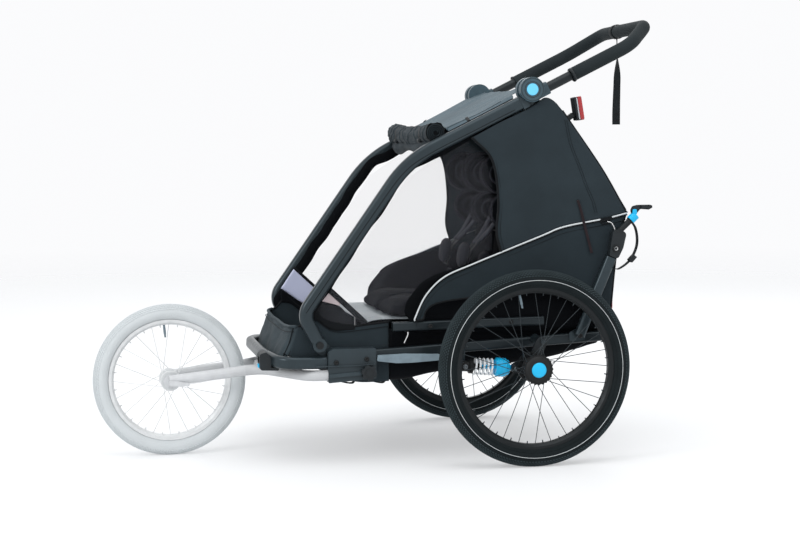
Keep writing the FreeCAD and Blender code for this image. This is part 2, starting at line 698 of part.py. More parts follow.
def shock(side_name, side):
    """Damper, coil spring and blue adjuster cup with its rod."""
    middle, radius, wire = size("arm_half"), size("spring_radius"), size("spring_wire")
    dx, dz = DAMPER_PIVOT
    cx, cz = CUP_PIVOT
    length = math.hypot(cx - dx, cz - dz)
    seat, sleeve_end, cup_start = 22, 46, 82
    damper = shock_cylinder(-20, seat, 14).fuse(shock_cylinder(12, seat, size("damper_radius")))
    damper = damper.fuse(shock_cylinder(seat - 2, sleeve_end, 8.5))
    damper = damper.cut([cross_pin(dx, dz, 280, 400, 5 + size("pin_gap")), shock_cylinder(8, 60, 5.4)])
    sub_part(feature(side_name + "_damper_body", on_side(damper, side)), side_name + "_damper")
    spring_start, spring_end = seat + wire + 0.6, cup_start - wire - 0.6
    coil = Part.makeHelix((spring_end - spring_start) / 5, spring_end - spring_start, radius)
    section = Part.Wire(Part.makeCircle(wire, Vector(radius, 0, 0), Y_AXIS))
    coil = Part.Wire(coil.Edges).makePipeShell([section], True, True)
    ax, az = along_shock(spring_start)
    turn = Rotation(Z_AXIS, Vector(cx - dx, 0, cz - dz))
    coil.Placement = FreeCAD.Placement(Vector(ax, middle, az), turn)
    coil_set = Part.makeCompound([on_side(coil, side)])
    sub_part(feature(side_name + "_coil", coil_set), side_name + "_spring")
    wide = size("cup_radius")
    cup = shock_cylinder(cup_start, cup_start + 6, wide - 3, wide)
    skirt = shock_cylinder(cup_start + 6, cup_start + 24, wide)
    cup = cup.fuse([skirt, shock_cylinder(cup_start + 24, cup_start + 37, wide, 17)])
    rod = shock_cylinder(24, cup_start + 2, 5)
    eye = cross_pin(cx, cz, middle - 7, middle + 7, 10)
    neck = shock_cylinder(cup_start + 35, length - 6, 7)
    cup = cup.fuse([rod, eye, neck]).cut(cross_pin(cx, cz, middle - 9, middle + 9, 5.5))
    sub_part(feature(side_name + "_cup", on_side(cup, side)), side_name + "_shock_cup")


# ---------------------------------------------------------------- roof frame
ROOF_ROUTE = [PILLAR_PIVOT, (-580, 395), (-302, 787.5), (-3, 934)]
ROOF_CROSSBARS = [((-215, 822), 254.5), (STRUT_PIVOT, 249.5)]


def roof_tubes():
    """Two side tubes, each a kinked foot, a raked pillar and the roof run, and the bars between them."""
    middle, wide, deep = size("roof_half"), size("tube_wide"), size("tube_deep")
    route = [(x, middle, z) for x, z in ROOF_ROUTE]
    tube = bent_tube(route, [0, 45, 300, 0], wide, deep, 11, size("tube_wall"))
    px, pz = PILLAR_PIVOT
    foot = cross_pin(px, pz, middle - wide / 2, middle + wide / 2, deep / 2)
    tube = tube.fuse(foot).cut(cross_pin(px, pz, middle - 20, middle + 20, 5 + size("pin_gap")))
    bars = [cross_pin(x, z, -reach, reach, 9) for (x, z), reach in ROOF_CROSSBARS]
    sub_part(feature("roof_tube_set", Part.makeCompound([tube, mirrored(tube)] + bars)), "roof_tubes")


def handle_sockets():
    """Dark sockets at the ends of the roof tubes: a tongue for the handle and a lug for the strut."""
    hx, hz = HANDLE_PIVOT
    kx, kz = STRUT_PIVOT
    middle = size("roof_half")
    block_shape = [(-10.6, 950.2), (5.4, 918.2), (22, 926), (12, 944)]
    body = slab(block_shape, [0, 0, 4, 4], middle - 15, middle + 15)
    tongue_shape = [(-2, 950), (9, 922), (30, 930), (44, 946), (44, 966)]
    tongue = slab(tongue_shape, [0, 0, 10, 16, 8], middle - 7.5, middle + 7.5)
    tongue = tongue.fuse(cross_pin(hx, hz, middle - 7.5, middle + 7.5, 26))
    web = slab([(4, 940), (10, 919), (kx, kz - 11), (kx, kz + 11)], 0, middle - 20, middle - 10)
    web = web.fuse(cross_pin(kx, kz, middle - 20, middle - 10, 11))
    pin = cross_pin(kx, kz, middle - 12, middle + 9, 4)
    disc_room = cross_pin(hx, hz, middle - 40, middle - 7.6, size("disc_radius") + 0.5)
    disc_room = disc_room.fuse(cross_pin(hx, hz, middle + 7.6, middle + 40, size("disc_radius") + 0.5))
    socket = body.fuse([tongue, web, pin]).cut(disc_room)
    socket = socket.cut(cross_pin(hx, hz, middle - 30, middle + 30, 6 + size("pin_gap")))
    sub_part(feature("socket_pair", both_sides(largest(socket))), "handle_sockets")


def roof_fabric():
    """The stretched roof between the tubes."""
    line = [(86, 938), (34, 984), (-100, 913), (-194, 870)]
    cover = sheet_slab(line, -3, -240, 240, [0, 25, 150, 0])
    sub_part(feature("roof_cover", cover), "roof_fabric")


def rolled_cover():
    """The front cover, rolled up and tied to the front crossbar."""
    sub_part(feature("cover_roll", cross_pin(-224, 861, -250, 250, 27)), "rolled_cover")


def side_fabrics():
    """The fabric sides between the roof tube and the reflective piping."""
    front = [(-49, 550), (-71, 552), (-65, 682), (-81, 786), (-135, 845)]
    top = [(0, 911), (40, 903), (84, 936), (110, 921), (140, 884), (221, 757), (287, 655), (287, 645)]
    lower = [(x, z + 1.5) for x, z in PIPING[:3:-1]]
    panel = slab(front[1:] + top + lower[1:], 0, 280.3, 283.3)
    sub_part(feature("side_fabric_pair", both_sides(panel)), "side_fabrics")


def side_windows():
    """Clear film windows between the pillar and the side fabric."""
    outline = [(-540, 404), (-300, 742), (-140, 836), (-88, 786), (-72, 682), (-76, 552)]
    outline += [(-136, 519), (-212, 488), (-261, 441), (-291, 383), (-350, 372), (-450, 362), (-520, 378)]
    pane = slab(outline, 0, 250.5, 251.5)
    sub_part(feature("window_pair", both_sides(pane)), "side_windows")


def rear_upper_fabric():
    """The sloping back of the cabin."""
    line = [(90, 934), (110, 921), (140, 884), (221, 757), (287.5, 652)]
    slope = sheet_slab(line, -3, -279, 279, [0, 30, 60, 200, 0])
    sub_part(feature("rear_slope", slope), "rear_upper_fabric")


def tail_light():
    """The rear light on its clip."""
    tilt = Rotation(Y_AXIS, -9)
    lamp = block((-7, -16, -31), (9, 16, 31), 3)
    lamp.Placement = FreeCAD.Placement(Vector(164, -226, 920), tilt)
    clip = block((-18, -7, -6), (2, 7, 8), 2)
    clip.Placement = FreeCAD.Placement(Vector(156, -226, 903), Rotation(Y_AXIS, -35))
    sub_part(feature("lamp", lamp.fuse(clip)), "tail_light")


def rear_struts():
    """Folding struts inside the rear edges of the fabric."""
    middle = size("roof_half")
    (kx, kz), (fx, fz) = STRUT_PIVOT, STRUT_FOOT
    way = Vector(fx - kx, 0, fz - kz)
    start = Vector(kx, middle, kz) + way * (8 / way.Length)
    strut = Part.makeCylinder(8, way.Length - 14, start, way)
    eyes = [cross_pin(x, z, middle - 8, middle + 8, 10) for x, z in (STRUT_PIVOT, STRUT_FOOT)]
    upper_bore = cross_pin(kx, kz, middle - 20, middle + 20, 4 + size("pin_gap"))
    strut = strut.fuse(eyes).cut([upper_bore, cross_pin(fx, fz, middle - 20, middle + 20, 4)])
    sub_part(feature("strut_pair", both_sides(strut)), "rear_struts")


# ---------------------------------------------------------------- handlebar
HANDLE_TILT = math.radians(26.3)
HANDLE_DROP = 16
HANDLE_BEND = 300
HANDLE_REACH = 392
HANDLE_LIFT = 16
CROSSBAR_HALF = 175
GRIP_START = 118
STRAP_Y = 52


def on_handle(along, y, above=0):
    """A place given along the handlebar's arms, sideways, and above its plane."""
    hx, hz = HANDLE_PIVOT
    across = above - HANDLE_DROP
    x = hx + along * math.cos(HANDLE_TILT) - across * math.sin(HANDLE_TILT)
    z = hz + along * math.sin(HANDLE_TILT) + across * math.cos(HANDLE_TILT)
    return (x, y, z)


def handlebar():
    """The U-shaped tube, its foam grip and the two discs of each hub."""
    half, radius, grip = size("roof_half"), size("handle_radius") - 3, size("grip_radius") - 1
    start = size("disc_radius") - 4
    corners = [on_handle(HANDLE_BEND, half), on_handle(HANDLE_REACH, CROSSBAR_HALF, HANDLE_LIFT)]
    corners += [(x, -y, z) for x, y, z in reversed(corners)]
    radii = [0, 80, 60, 60, 80, 0]
    route = [on_handle(start, half)] + corners + [on_handle(start, -half)]
    tube = round_bar(route, radii, radius).cut(round_bar(route, radii, radius - 2))
    sub_part(feature("handle_tube", tube), "handlebar_tube")
    grip_route = [on_handle(GRIP_START, half)] + corners + [on_handle(GRIP_START, -half)]
    foam = round_bar(grip_route, radii, grip).cut(round_bar(grip_route, radii, radius))
    sub_part(feature("foam", foam), "handlebar_grip")
    hx, hz = HANDLE_PIVOT
    disc, thick = size("disc_radius"), size("disc_thick")
    outer = cross_pin(hx, hz, half + 8, half + 8 + thick + 6, disc)
    inner = cross_pin(hx, hz, half - 8 - thick - 4, half - 8, disc)
    shaft = cross_pin(hx, hz, half - 10, half + 10, 6)
    yoke = slab_on_handle(12, start + 16, 17)
    keep_clear = cross_pin(hx, hz, half - 8, half + 8, disc - 4)
    yoke = yoke.cut(keep_clear)
    hub = outer.fuse([inner, shaft, yoke])
    pocket = cross_pin(hx, hz, half + 15, half + 40, size("button_radius") + size("running_gap"))
    hub = hub.cut([round_bar(route, radii, radius), pocket])
    sub_part(feature("handle_hub_pair", both_sides(largest(hub))), "handle_hubs")


def slab_on_handle(start, end, half_deep):
    """A short sleeve over the foot of the handlebar's right arm."""
    half = size("roof_half")
    near, far = Vector(*on_handle(start, half)), Vector(*on_handle(end, half))
    return bent_bar([tuple(near), tuple(far)], 0, 33, 2 * half_deep, 8)


def handle_buttons():
    """The two blue release buttons in the handle hubs."""
    hx, hz = HANDLE_PIVOT
    face = size("roof_half") + 8 + size("disc_thick") + 6
    for side_name, side in SIDES.items():
        button = cross_pin(hx, hz, face - 7, face + 2.5, size("button_radius"))
        rim = [edge for edge in button.Edges if abs(edge.CenterOfMass.y - face - 2.5) < 0.1]
        button = button.makeFillet(1.8, rim)
        sub_part(feature(side_name + "_button", on_side(button, side)), side_name + "_handle_button")


def wrist_strap():
    """The flat safety strap that hangs from the handlebar."""
    x, y, z = on_handle(HANDLE_REACH, STRAP_Y, HANDLE_LIFT)
    radius = size("grip_radius") - 0.6
    ring = Part.makeCylinder(radius + 2, 20, Vector(x, y - 10, z), Y_AXIS)
    ring = ring.cut(Part.makeCylinder(radius, 20, Vector(x, y - 10, z), Y_AXIS))
    tail = block((x - 2, y - 10, z - 262), (x + 2, y + 10, z - radius - 0.5))
    sub_part(feature("strap", ring.fuse(tail)), "wrist_strap")


# ---------------------------------------------------------------- jogger kit
def jogger_fork():
    """Two bent arms from the receivers to the jogger wheel, their bridge, and the wheel's skewer."""
    middle, radius = size("receiver_half"), size("fork_radius")
    ax, az = size("front_axle_x"), size("front_radius")
    inner = size("front_hub_half") + 17
    (mx, mz), (ex, ez) = RECEIVER_MOUTH, RECEIVER_END
    bend = Vector(mx, middle, mz) + Vector(mx - ex, 0, mz - ez) * 0.35
    route = [(ex, middle, ez), tuple(bend), (-668, inner + 6, 232), (ax - 4, inner, az + 4)]
    arm = round_bar(route, [0, 70, 70, 0], radius)
    kx, kz = KNOB_CENTRE
    clamp_hole = cross_pin(kx, kz, middle + 8, middle + 20, 4.4)
    dropout = cross_pin(ax, az, inner - 16.5, inner - 11, 19)
    plate = [(ax, az - 12), (ax, az + 14), (ax + 46, az + 12), (ax + 46, az - 6)]
    arm = arm.fuse([dropout, slab(plate, 4, inner - 16.5, inner - 8)])
    axle_hole = cross_pin(ax, az, inner - 30, inner + 30, size("axle_radius"))
    arm = arm.cut([axle_hole, clamp_hole])
    bridge = cross_pin(-662, 232, -inner, inner, 9)
    fork = bridge.fuse([arm, mirrored(arm)])
    axle = cross_pin(ax, az, -inner - 16, inner + 16, size("axle_radius"))
    grip = [(ax - 7, az - 8), (ax - 7, az + 8), (ax + 10, az + 6), (ax + 48, az - 2), (ax + 46, az - 9)]
    lever = slab(grip, [6, 6, 4, 3, 3], -inner - 22, -inner - 16)
    nut = cross_pin(ax, az, inner + 16, inner + 20, 10)
    skewer = axle.fuse([lever, nut])
    sub_part(feature("fork_arms", Part.makeCompound([fork, skewer])), "jogger_fork")


def star_knobs():
    """Knurled knobs that clamp the jogger arms in their receivers."""
    kx, kz = KNOB_CENTRE
    face = size("receiver_half") + 21
    for side_name, side in SIDES.items():
        knob = cross_pin(kx, kz, face, face + 14, 20)
        bites = [
            cross_pin(kx + 23 * math.cos(a), kz + 23 * math.sin(a), face - 1, face + 15, 6)
            for a in [math.radians(60 * i + 15) for i in range(6)]
        ]
        stem = cross_pin(kx, kz, face - 6.5, face + 1, 4)
        cap = cross_pin(kx, kz, face + 14, face + 16, 9)
        knob = knob.cut(bites).fuse([stem, cap])
        sub_part(feature(side_name + "_knob", on_side(knob, side)), side_name + "_star_knob")


# ---------------------------------------------------------------- build, check and write
def build_all():
    """Make every sub-part."""
    for side_name, side in SIDES.items():
        rear_wheel(side_name, side)
        swing_arm(side_name, side)
        shock(side_name, side)
    front_wheel()
    makers = [side_rails, front_bumper, cross_members, receiver_castings, frame_bolts, step_plates]
    makers += [hitch_receptor, seat_rails, footwell, belly_tray, lower_panels, seats, rear_posts]
    makers += [rear_knuckles, release_levers, tail_reflector, brake_pedal, roof_tubes, handle_sockets]
    makers += [roof_fabric, rolled_cover, side_fabrics, side_windows, rear_upper_fabric, tail_light]
    makers += [rear_struts, handlebar, handle_buttons, wrist_strap, jogger_fork, star_knobs]
    for make in makers:
        make()
    doc.recompute()


def check_and_write():
    """Stop if anything failed, then write one STEP file per sub-part."""
    broken = [o.Name for o in doc.Objects if {"Invalid", "Error"} & set(o.State)]
    broken += [p.Label for p in PIECES if p.Shape.isNull() or not p.Shape.isValid()]
    if len({piece.Label for piece in PIECES}) < len(PIECES):
        broken.append("two sub-parts share a name")
    if broken:
        raise RuntimeError(f"failed objects: {broken}")
    os.makedirs("parts", exist_ok=True)
    for piece in PIECES:
        piece.Shape.exportStep(f"parts/{piece.Label}.step")
    print(len(PIECES), "sub-parts written")


build_all()
check_and_write()
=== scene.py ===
"""Looks for the child bicycle trailer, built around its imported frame.

Metres. X runs rearwards, Y to the trailer's right, Z up. Places are given from the rear axle, as
(x behind the axle, y, z above the ground), and moved into the frame by at().
"""
import math

import bpy
import numpy as np
from mathutils import Matrix, Vector, noise
from mathutils.bvhtree import BVHTree


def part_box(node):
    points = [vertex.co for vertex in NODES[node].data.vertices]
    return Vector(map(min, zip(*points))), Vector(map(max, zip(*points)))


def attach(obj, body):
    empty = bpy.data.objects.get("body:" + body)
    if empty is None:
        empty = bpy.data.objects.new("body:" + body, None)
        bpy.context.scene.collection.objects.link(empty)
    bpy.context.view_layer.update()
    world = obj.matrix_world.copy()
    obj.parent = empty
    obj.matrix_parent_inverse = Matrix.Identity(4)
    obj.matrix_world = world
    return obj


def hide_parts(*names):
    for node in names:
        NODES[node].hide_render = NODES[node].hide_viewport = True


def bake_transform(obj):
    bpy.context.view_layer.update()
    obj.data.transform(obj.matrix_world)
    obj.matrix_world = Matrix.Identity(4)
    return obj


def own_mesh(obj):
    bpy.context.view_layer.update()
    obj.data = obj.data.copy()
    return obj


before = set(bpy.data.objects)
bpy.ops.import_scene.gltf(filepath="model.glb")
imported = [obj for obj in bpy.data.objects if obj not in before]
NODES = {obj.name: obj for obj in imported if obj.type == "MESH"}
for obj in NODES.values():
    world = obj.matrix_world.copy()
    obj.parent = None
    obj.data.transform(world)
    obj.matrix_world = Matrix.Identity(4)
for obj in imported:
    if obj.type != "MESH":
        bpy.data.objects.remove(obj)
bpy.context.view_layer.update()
SIDES = {"left": -1, "right": 1}
BACK, ACROSS, UP = Vector((1, 0, 0)), Vector((0, 1, 0)), Vector((0, 0, 1))


def middle(node):
    """The centre of a CAD node's box."""
    low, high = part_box(node)
    return (low + high) / 2


AXLE = middle("left_tyre").x
WHEEL_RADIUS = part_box("left_tyre")[1].z / 2
JOG_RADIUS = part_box("front_tyre")[1].z / 2


def at(x, y, z):
    """A place in the frame, from its distance behind the rear axle."""
    return Vector((x + AXLE, y, z))


def tone(red, green, blue):
    """A linear colour from screen values of 0 to 255."""
    return tuple((c / 255 / 12.92) if c < 10 else ((c / 255 + 0.055) / 1.055) ** 2.4 for c in (red,
                                                                                               green,
                                                                                               blue))


# ---------------- materials
class Look:
    """A procedural material, built up by short calls."""

    def __init__(self, name, colour, rough, metal=0.0, **sockets):
        self.material = bpy.data.materials.new(name)
        self.material.use_nodes = True
        self.tree = self.material.node_tree
        self.shader = self.tree.nodes["Principled BSDF"]
        self.colour = (*colour, 1)
        self.height = None
        self.set(**{"Base Color": self.colour, "Roughness": rough, "Metallic": metal}, **sockets)
        self.place = self.node("ShaderNodeTexCoord").outputs["Object"]

    def set(self, **sockets):
        for name, value in sockets.items():
            self.shader.inputs[name.replace("_", " ")].default_value = value
        return self

    def node(self, kind, inputs=(), **settings):
        made = self.tree.nodes.new(kind)
        for name, value in settings.items():
            setattr(made, name, value)
        for name, value in dict(inputs).items():
            if isinstance(value, bpy.types.NodeSocket):
                self.tree.links.new(value, made.inputs[name])
            else:
                made.inputs[name].default_value = value
        return made

    def stretched(self, scale):
        return self.node("ShaderNodeMapping", {"Vector": self.place, "Scale": scale}).outputs["Vector"]

    def noise(self, scale, detail=3.0, stretch=(1, 1, 1)):
        vector = self.stretched(stretch)
        return self.node("ShaderNodeTexNoise",
                         {"Vector": vector, "Scale": scale, "Detail": detail}).outputs["Fac"]

    def cells(self, scale):
        return self.node("ShaderNodeTexVoronoi",
                         {"Vector": self.place, "Scale": scale}).outputs["Distance"]

    def bands(self, scale, direction):
        inputs = {"Vector": self.place, "Scale": scale}
        return self.node("ShaderNodeTexWave", inputs, bands_direction=direction).outputs["Fac"]

    def sum(self, first, second, how="ADD", clamp=False):
        made = self.node("ShaderNodeMath", operation=how, use_clamp=clamp)
        for socket, value in zip(made.inputs, (first, second)):
            if isinstance(value, bpy.types.NodeSocket):
                self.tree.links.new(value, socket)
            else:
                socket.default_value = value
        return made.outputs[0]

    def between(self, value, low, high, start=0.0, end=1.0):
        inputs = {"Value": value, "From Min": low, "From Max": high, "To Min": start, "To Max": end}
        return self.node("ShaderNodeMapRange", inputs).outputs[0]

    def paint(self, share, colour):
        """Mix another colour over the surface where share is 1."""
        mix = self.node("ShaderNodeMix", data_type="RGBA")
        self.tree.links.new(share, mix.inputs[0])
        source = self.shader.inputs["Base Color"]
        if source.is_linked:
            self.tree.links.new(source.links[0].from_socket, mix.inputs[6])
        else:
            mix.inputs[6].default_value = self.colour
        mix.inputs[7].default_value = (*colour, 1)
        self.tree.links.new(mix.outputs[2], source)
        return self

    def rough(self, share, low, high):
        self.tree.links.new(self.between(share, 0, 1, low, high), self.shader.inputs["Roughness"])
        return self

    def bump(self, height, depth, strength=1.0):
        """Add a bump of depth metres on top of those there already."""
        made = self.node("ShaderNodeBump", {"Height": height, "Distance": depth, "Strength": strength})
        if self.height:
            self.tree.links.new(self.height, made.inputs["Normal"])
        self.height = made.outputs["Normal"]
        self.tree.links.new(self.height, self.shader.inputs["Normal"])
        return self

    def edge_wear_and_highlight(self, colour, amount=0.5):
        """Lighten the sharp edges: partly wear, partly a painted highlight."""
        point = self.node("ShaderNodeNewGeometry").outputs["Pointiness"]
        edge = self.sum(self.between(point, 0.52, 0.6), self.noise(60), "MULTIPLY")
        return self.paint(self.sum(edge, amount, "MULTIPLY", True), colour)


def shade(colour, factor):
    return tuple(min(1, c * factor) for c in colour)


def woven(name, colour, rough=0.8, thread=900, depth=0.00025, sheen=0.04, mottle=1.35, gloss=0.15):
    """Coated cloth: crossed threads, a slow change of colour and soft creases."""
    look = Look(name, colour, rough, Sheen_Weight=sheen, Sheen_Roughness=0.5, Specular_IOR_Level=gloss)
    look.paint(look.between(look.noise(7, 4), 0.35, 0.75), shade(colour, mottle))
    threads = look.sum(look.bands(thread / 3, "DIAGONAL"), look.bands(thread / 3, "X"), "MAXIMUM")
    fine = look.sum(threads, look.bands(thread / 3, "Z"), "MAXIMUM")
    look.paint(look.between(fine, 0.2, 1, 0.25, 0), shade(colour, 0.6))
    return look.bump(fine, depth).bump(look.noise(14, 3), 0.0035, 0.5)


def moulded(name, colour, rough=0.5, grain=1600, wear_and_highlight=True, **sockets):
    """Plastic with a fine spark-eroded grain."""
    look = Look(name, colour, rough, Specular_IOR_Level=0.3, **sockets)
    look.bump(look.noise(grain, 2), 0.00015).rough(look.noise(30, 4), rough - 0.08, rough + 0.12)
    look.paint(look.between(look.noise(9, 3), 0.4, 0.8, 0, 0.6), shade(colour, 1.3))
    # Lighter sharp edges: partly wear, partly painted highlight.
    return look.edge_wear_and_highlight(shade(colour, 2.4), 0.6) if wear_and_highlight else look


def anodised(name, colour, rough=0.42, metal=0.75):
    """Brushed and anodised tube."""
    look = Look(name, colour, rough, metal)
    look.bump(look.noise(500, 3, (0.06, 1, 1)), 0.00005).rough(look.noise(90, 4, (0.2, 1, 1)),
                                                               rough - 0.1, rough + 0.14)
    look.paint(look.between(look.noise(5, 3), 0.4, 0.7, 0, 0.5), shade(colour, 1.2))
    # Lighter sharp edges: partly wear, partly painted highlight.
    return look.edge_wear_and_highlight(shade(colour, 1.9), 0.5)


def ribbed(name, colour):
    """Webbing with cross ribs and a slight shine."""
    look = Look(name, colour, 0.7, Sheen_Weight=0.05, Specular_IOR_Level=0.2)
    look.bump(look.bands(260, "Z"), 0.0003).bump(look.noise(900), 0.0001)
    return look.paint(look.between(look.noise(40), 0.4, 0.8, 0, 0.7), shade(colour, 1.6))


def dusty_rubber(name, colour, groove, mottle=1.3):
    """Rubber with a fine pebbled face and a little dust."""
    look = Look(name, colour, 0.78, Specular_IOR_Level=0.12)
    look.bump(look.cells(groove), 0.0005).bump(look.noise(1500), 0.0001)
    look.paint(look.between(look.noise(22, 5), 0.35, 0.75), shade(colour, mottle))
    return look.rough(look.noise(15, 4), 0.68, 0.88)


LOOKS = {
    "tyre": dusty_rubber("tyre_rubber", tone(21, 27, 29), 420),
    "tread": dusty_rubber("tread_rubber", tone(46, 55, 58), 420),
    "jogger_tyre": dusty_rubber("jogger_rubber", tone(196, 201, 203), 420, 1.05),
    "pale_alloy": anodised("pale_alloy", tone(196, 199, 200), 0.4, 0.3),
    "rim_black": anodised("rim_black", tone(22, 26, 28), 0.35, 0.6),
    "spoke_steel": anodised("spoke_steel", tone(52, 57, 60), 0.35, 0.9),
    "steel": anodised("bright_steel", tone(110, 116, 120), 0.32, 0.95),
    "gunmetal": anodised("gunmetal_tube", tone(42, 52, 57), 0.32, 0.55),
    "frame_alloy": anodised("frame_alloy", tone(27, 35, 39), 0.32, 0.55),
    "handle_alloy": anodised("handle_alloy", tone(22, 28, 31), 0.34, 0.5),
    "black_plastic": moulded("black_plastic", tone(22, 27, 30), 0.5),
    "dark_casting": moulded("dark_casting", tone(38, 48, 53), 0.48),
    "hub_black": moulded("hub_black", tone(10, 13, 15), 0.45),
    "grey_plastic": moulded("grey_plastic", tone(98, 112, 120), 0.5),
    "blue_plastic": moulded("blue_plastic", tone(10, 176, 226), 0.3, wear_and_highlight=False, Coat_Weight=0.3),
    "blue_button": moulded("blue_button", tone(105, 198, 240), 0.3, wear_and_highlight=False, Coat_Weight=0.3),
    "disc_plastic": moulded("disc_plastic", tone(50, 67, 75), 0.4),
    "cloth_side": woven("cloth_side", tone(37, 46, 51)),
    "cloth_lower": woven("cloth_lower", tone(31, 40, 45)),
    # Very dark cloth: used for the footwell floor, the belly and the sleeves, and as painted shade on
    # the recessed skirts and the gusset linings.
    "cloth_inner": woven("cloth_inner", tone(10, 12, 15), sheen=0.0, gloss=0.06),
    "cloth_nose": woven("cloth_nose", tone(46, 56, 61)),
    "cloth_roof": woven("cloth_roof", tone(66, 82, 90), 0.7),
    "cloth_seat": woven("cloth_seat", tone(7, 9, 13), 0.9, 500, 0.0004, 0.0, gloss=0.08),
    "cloth_pad": woven("cloth_pad", tone(30, 31, 37), 0.9, 420, 0.0004),
    "cloth_belt": woven("cloth_belt", tone(46, 48, 54), 0.9, 420, 0.0004),
    "cloth_roll": woven("cloth_roll", tone(34, 43, 48), 0.75),
    "binding": woven("binding", tone(14, 17, 20), 0.8, 700),
    "seam_thread": woven("seam_thread", tone(26, 33, 37), 0.8, 700),
    "piping": woven("piping", tone(205, 210, 212), 0.45, 900, 0.0001, 0.0, 1.05),
    "webbing": ribbed("webbing", tone(20, 25, 28)),
    "elastic": ribbed("elastic", tone(32, 22, 26)),
    "white_cord": ribbed("white_cord", tone(215, 216, 216)),
    "foam": moulded("foam_grip", tone(26, 34, 37), 0.85, 700, False),
    "fork_paint": anodised("fork_paint", tone(180, 182, 184), 0.5, 0.1),
    "white_paint": moulded("white_paint", tone(226, 232, 236), 0.35, wear_and_highlight=False),
    "red_lens": Look("red_lens", tone(168, 8, 20), 0.15, Coat_Weight=0.6),
    "clear_lens": Look("clear_lens", tone(190, 198, 202), 0.12, Coat_Weight=0.6),
}
for lens in ("red_lens", "clear_lens"):
    LOOKS[lens].bump(LOOKS[lens].cells(500), 0.0008)


def clear_film():
    look = Look("clear_film", tone(120, 122, 130), 0.12, Specular_IOR_Level=0.2)
    look.set(Alpha=0.045).bump(look.noise(6, 2), 0.002, 0.4)
    look.rough(look.noise(10), 0.08, 0.2)
    return look


def tinted_film(name, colour, alpha):
    look = Look(name, colour, 0.3)
    look.rough(look.noise(12), 0.25, 0.4)
    return look.set(Alpha=alpha)


LOOKS["film"] = clear_film()
LOOKS["film_blue"] = tinted_film("film_blue", tone(192, 198, 224), 0.85)
LOOKS["film_pink"] = tinted_film("film_pink", tone(212, 196, 198), 0.8)


def coat(thing, look):
    """Put one look over the whole of a piece."""
    thing.data.materials.clear()
    thing.data.materials.append(LOOKS[look].material)
    return thing


CAD_LOOKS = {
    "rim": "rim_black", "spokes": "spoke_steel", "hub": "hub_black", "swing_arm": "black_plastic",
    "damper": "hub_black", "spring": "white_paint", "shock_cup": "blue_plastic",
    "release_lever": "black_plastic", "handle_button": "blue_button", "star_knob": "black_plastic",
    "tyre": "tyre",
}
SINGLE_LOOKS = {
    "front_rim": "pale_alloy", "front_tyre": "jogger_tyre", "front_spokes": "pale_alloy",
    "front_hub": "pale_alloy",
    "side_rails": "frame_alloy", "front_bumper": "gunmetal", "cross_members": "gunmetal",
    "receiver_castings": "dark_casting", "frame_bolts": "hub_black", "step_plates": "grey_plastic",
    "hitch_receptor": "black_plastic", "hitch_button": "blue_plastic", "seat_rails": "frame_alloy",
    "rear_posts": "gunmetal", "rear_knuckles": "black_plastic", "release_collars": "blue_plastic",
    "tail_reflector": "red_lens", "brake_pedal": "grey_plastic", "roof_tubes": "gunmetal",
    "handle_sockets": "dark_casting", "rear_struts": "gunmetal", "handlebar_tube": "handle_alloy",
    "handle_hubs": "disc_plastic", "jogger_fork": "fork_paint", "tail_light": "black_plastic",
    "handlebar_grip": "foam",
}
for side_name in SIDES:
    SINGLE_LOOKS.update({f"{side_name}_{part}": look for part, look in CAD_LOOKS.items()})
for node, look in SINGLE_LOOKS.items():
    for spot in NODES[node].material_slots:
        spot.material = LOOKS[look].material


# ---------------- geometry helpers
def smooth_line(points, count):
    """Evenly spaced points along a smooth curve through the given ones."""
    given = [Vector(p) for p in points]
    line = [given[0] * 2 - given[1]] + given + [given[-1] * 2 - given[-2]]
    fine = []
    for a, b, c, d in zip(line, line[1:], line[2:], line[3:]):
        for step in range(24):
            u = step / 24
            bend, twist = a * 2 - b * 5 + c * 4 - d, b * 3 - a - c * 3 + d
            fine.append(((b * 2) + (c - a) * u + bend * u**2 + twist * u**3) / 2)
    fine.append(given[-1])
    return evenly(fine, count)


def evenly(fine, count):
    """Count points at equal distances along a polyline."""
    array = np.array([tuple(p) for p in fine])
    gaps = np.linalg.norm(np.diff(array, axis=0), axis=1)
    run = np.concatenate([[0], np.cumsum(gaps)])
    stops = np.linspace(0, run[-1], count)
    return [Vector([np.interp(s, run, array[:, k]) for k in range(3)]) for s in stops]


def straight_line(points, count):
    """Evenly spaced points along straight runs."""
    return evenly([Vector(p) for p in points], count)


def piece(name, corners, faces, look, body, replaces=(), smooth=True):
    """A mesh that rides on a CAD body."""
    mesh = bpy.data.meshes.new(name)
    mesh.from_pydata([tuple(c) for c in corners], [], faces)
    mesh.update()
    thing = bpy.data.objects.new(name, mesh)
    bpy.context.scene.collection.objects.link(thing)
    coat(thing, look)
    for face in mesh.polygons:
        face.use_smooth = smooth
    if body:
        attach(thing, body)
    if replaces:
        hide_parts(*replaces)
    return thing


def grid_faces(rows, columns, wrap_rows=False, wrap_columns=False):
    """Quads over a grid of points stored row by row."""
    faces = []
    for i in range(rows if wrap_rows else rows - 1):
        for j in range(columns if wrap_columns else columns - 1):
            a, b = i * columns + j, i * columns + (j + 1) % columns
            c, d = ((i + 1) % rows) * columns + (j + 1) % columns, ((i + 1) % rows) * columns + j
            faces.append((a, b, c, d))
    return faces


def apply_modifiers(thing):
    """Replace a piece's mesh by what its modifiers make."""
    graph = bpy.context.evaluated_depsgraph_get()
    made = bpy.data.meshes.new_from_object(thing.evaluated_get(graph))
    thing.modifiers.clear()
    thing.data = made
    return thing


def thicken(thing, thickness):
    """Give a sheet its thickness, half to each side."""
    solid = thing.modifiers.new("thickness", "SOLIDIFY")
    solid.thickness, solid.offset = thickness, 0
    solid.use_quality_normals = True
    return apply_modifiers(thing)


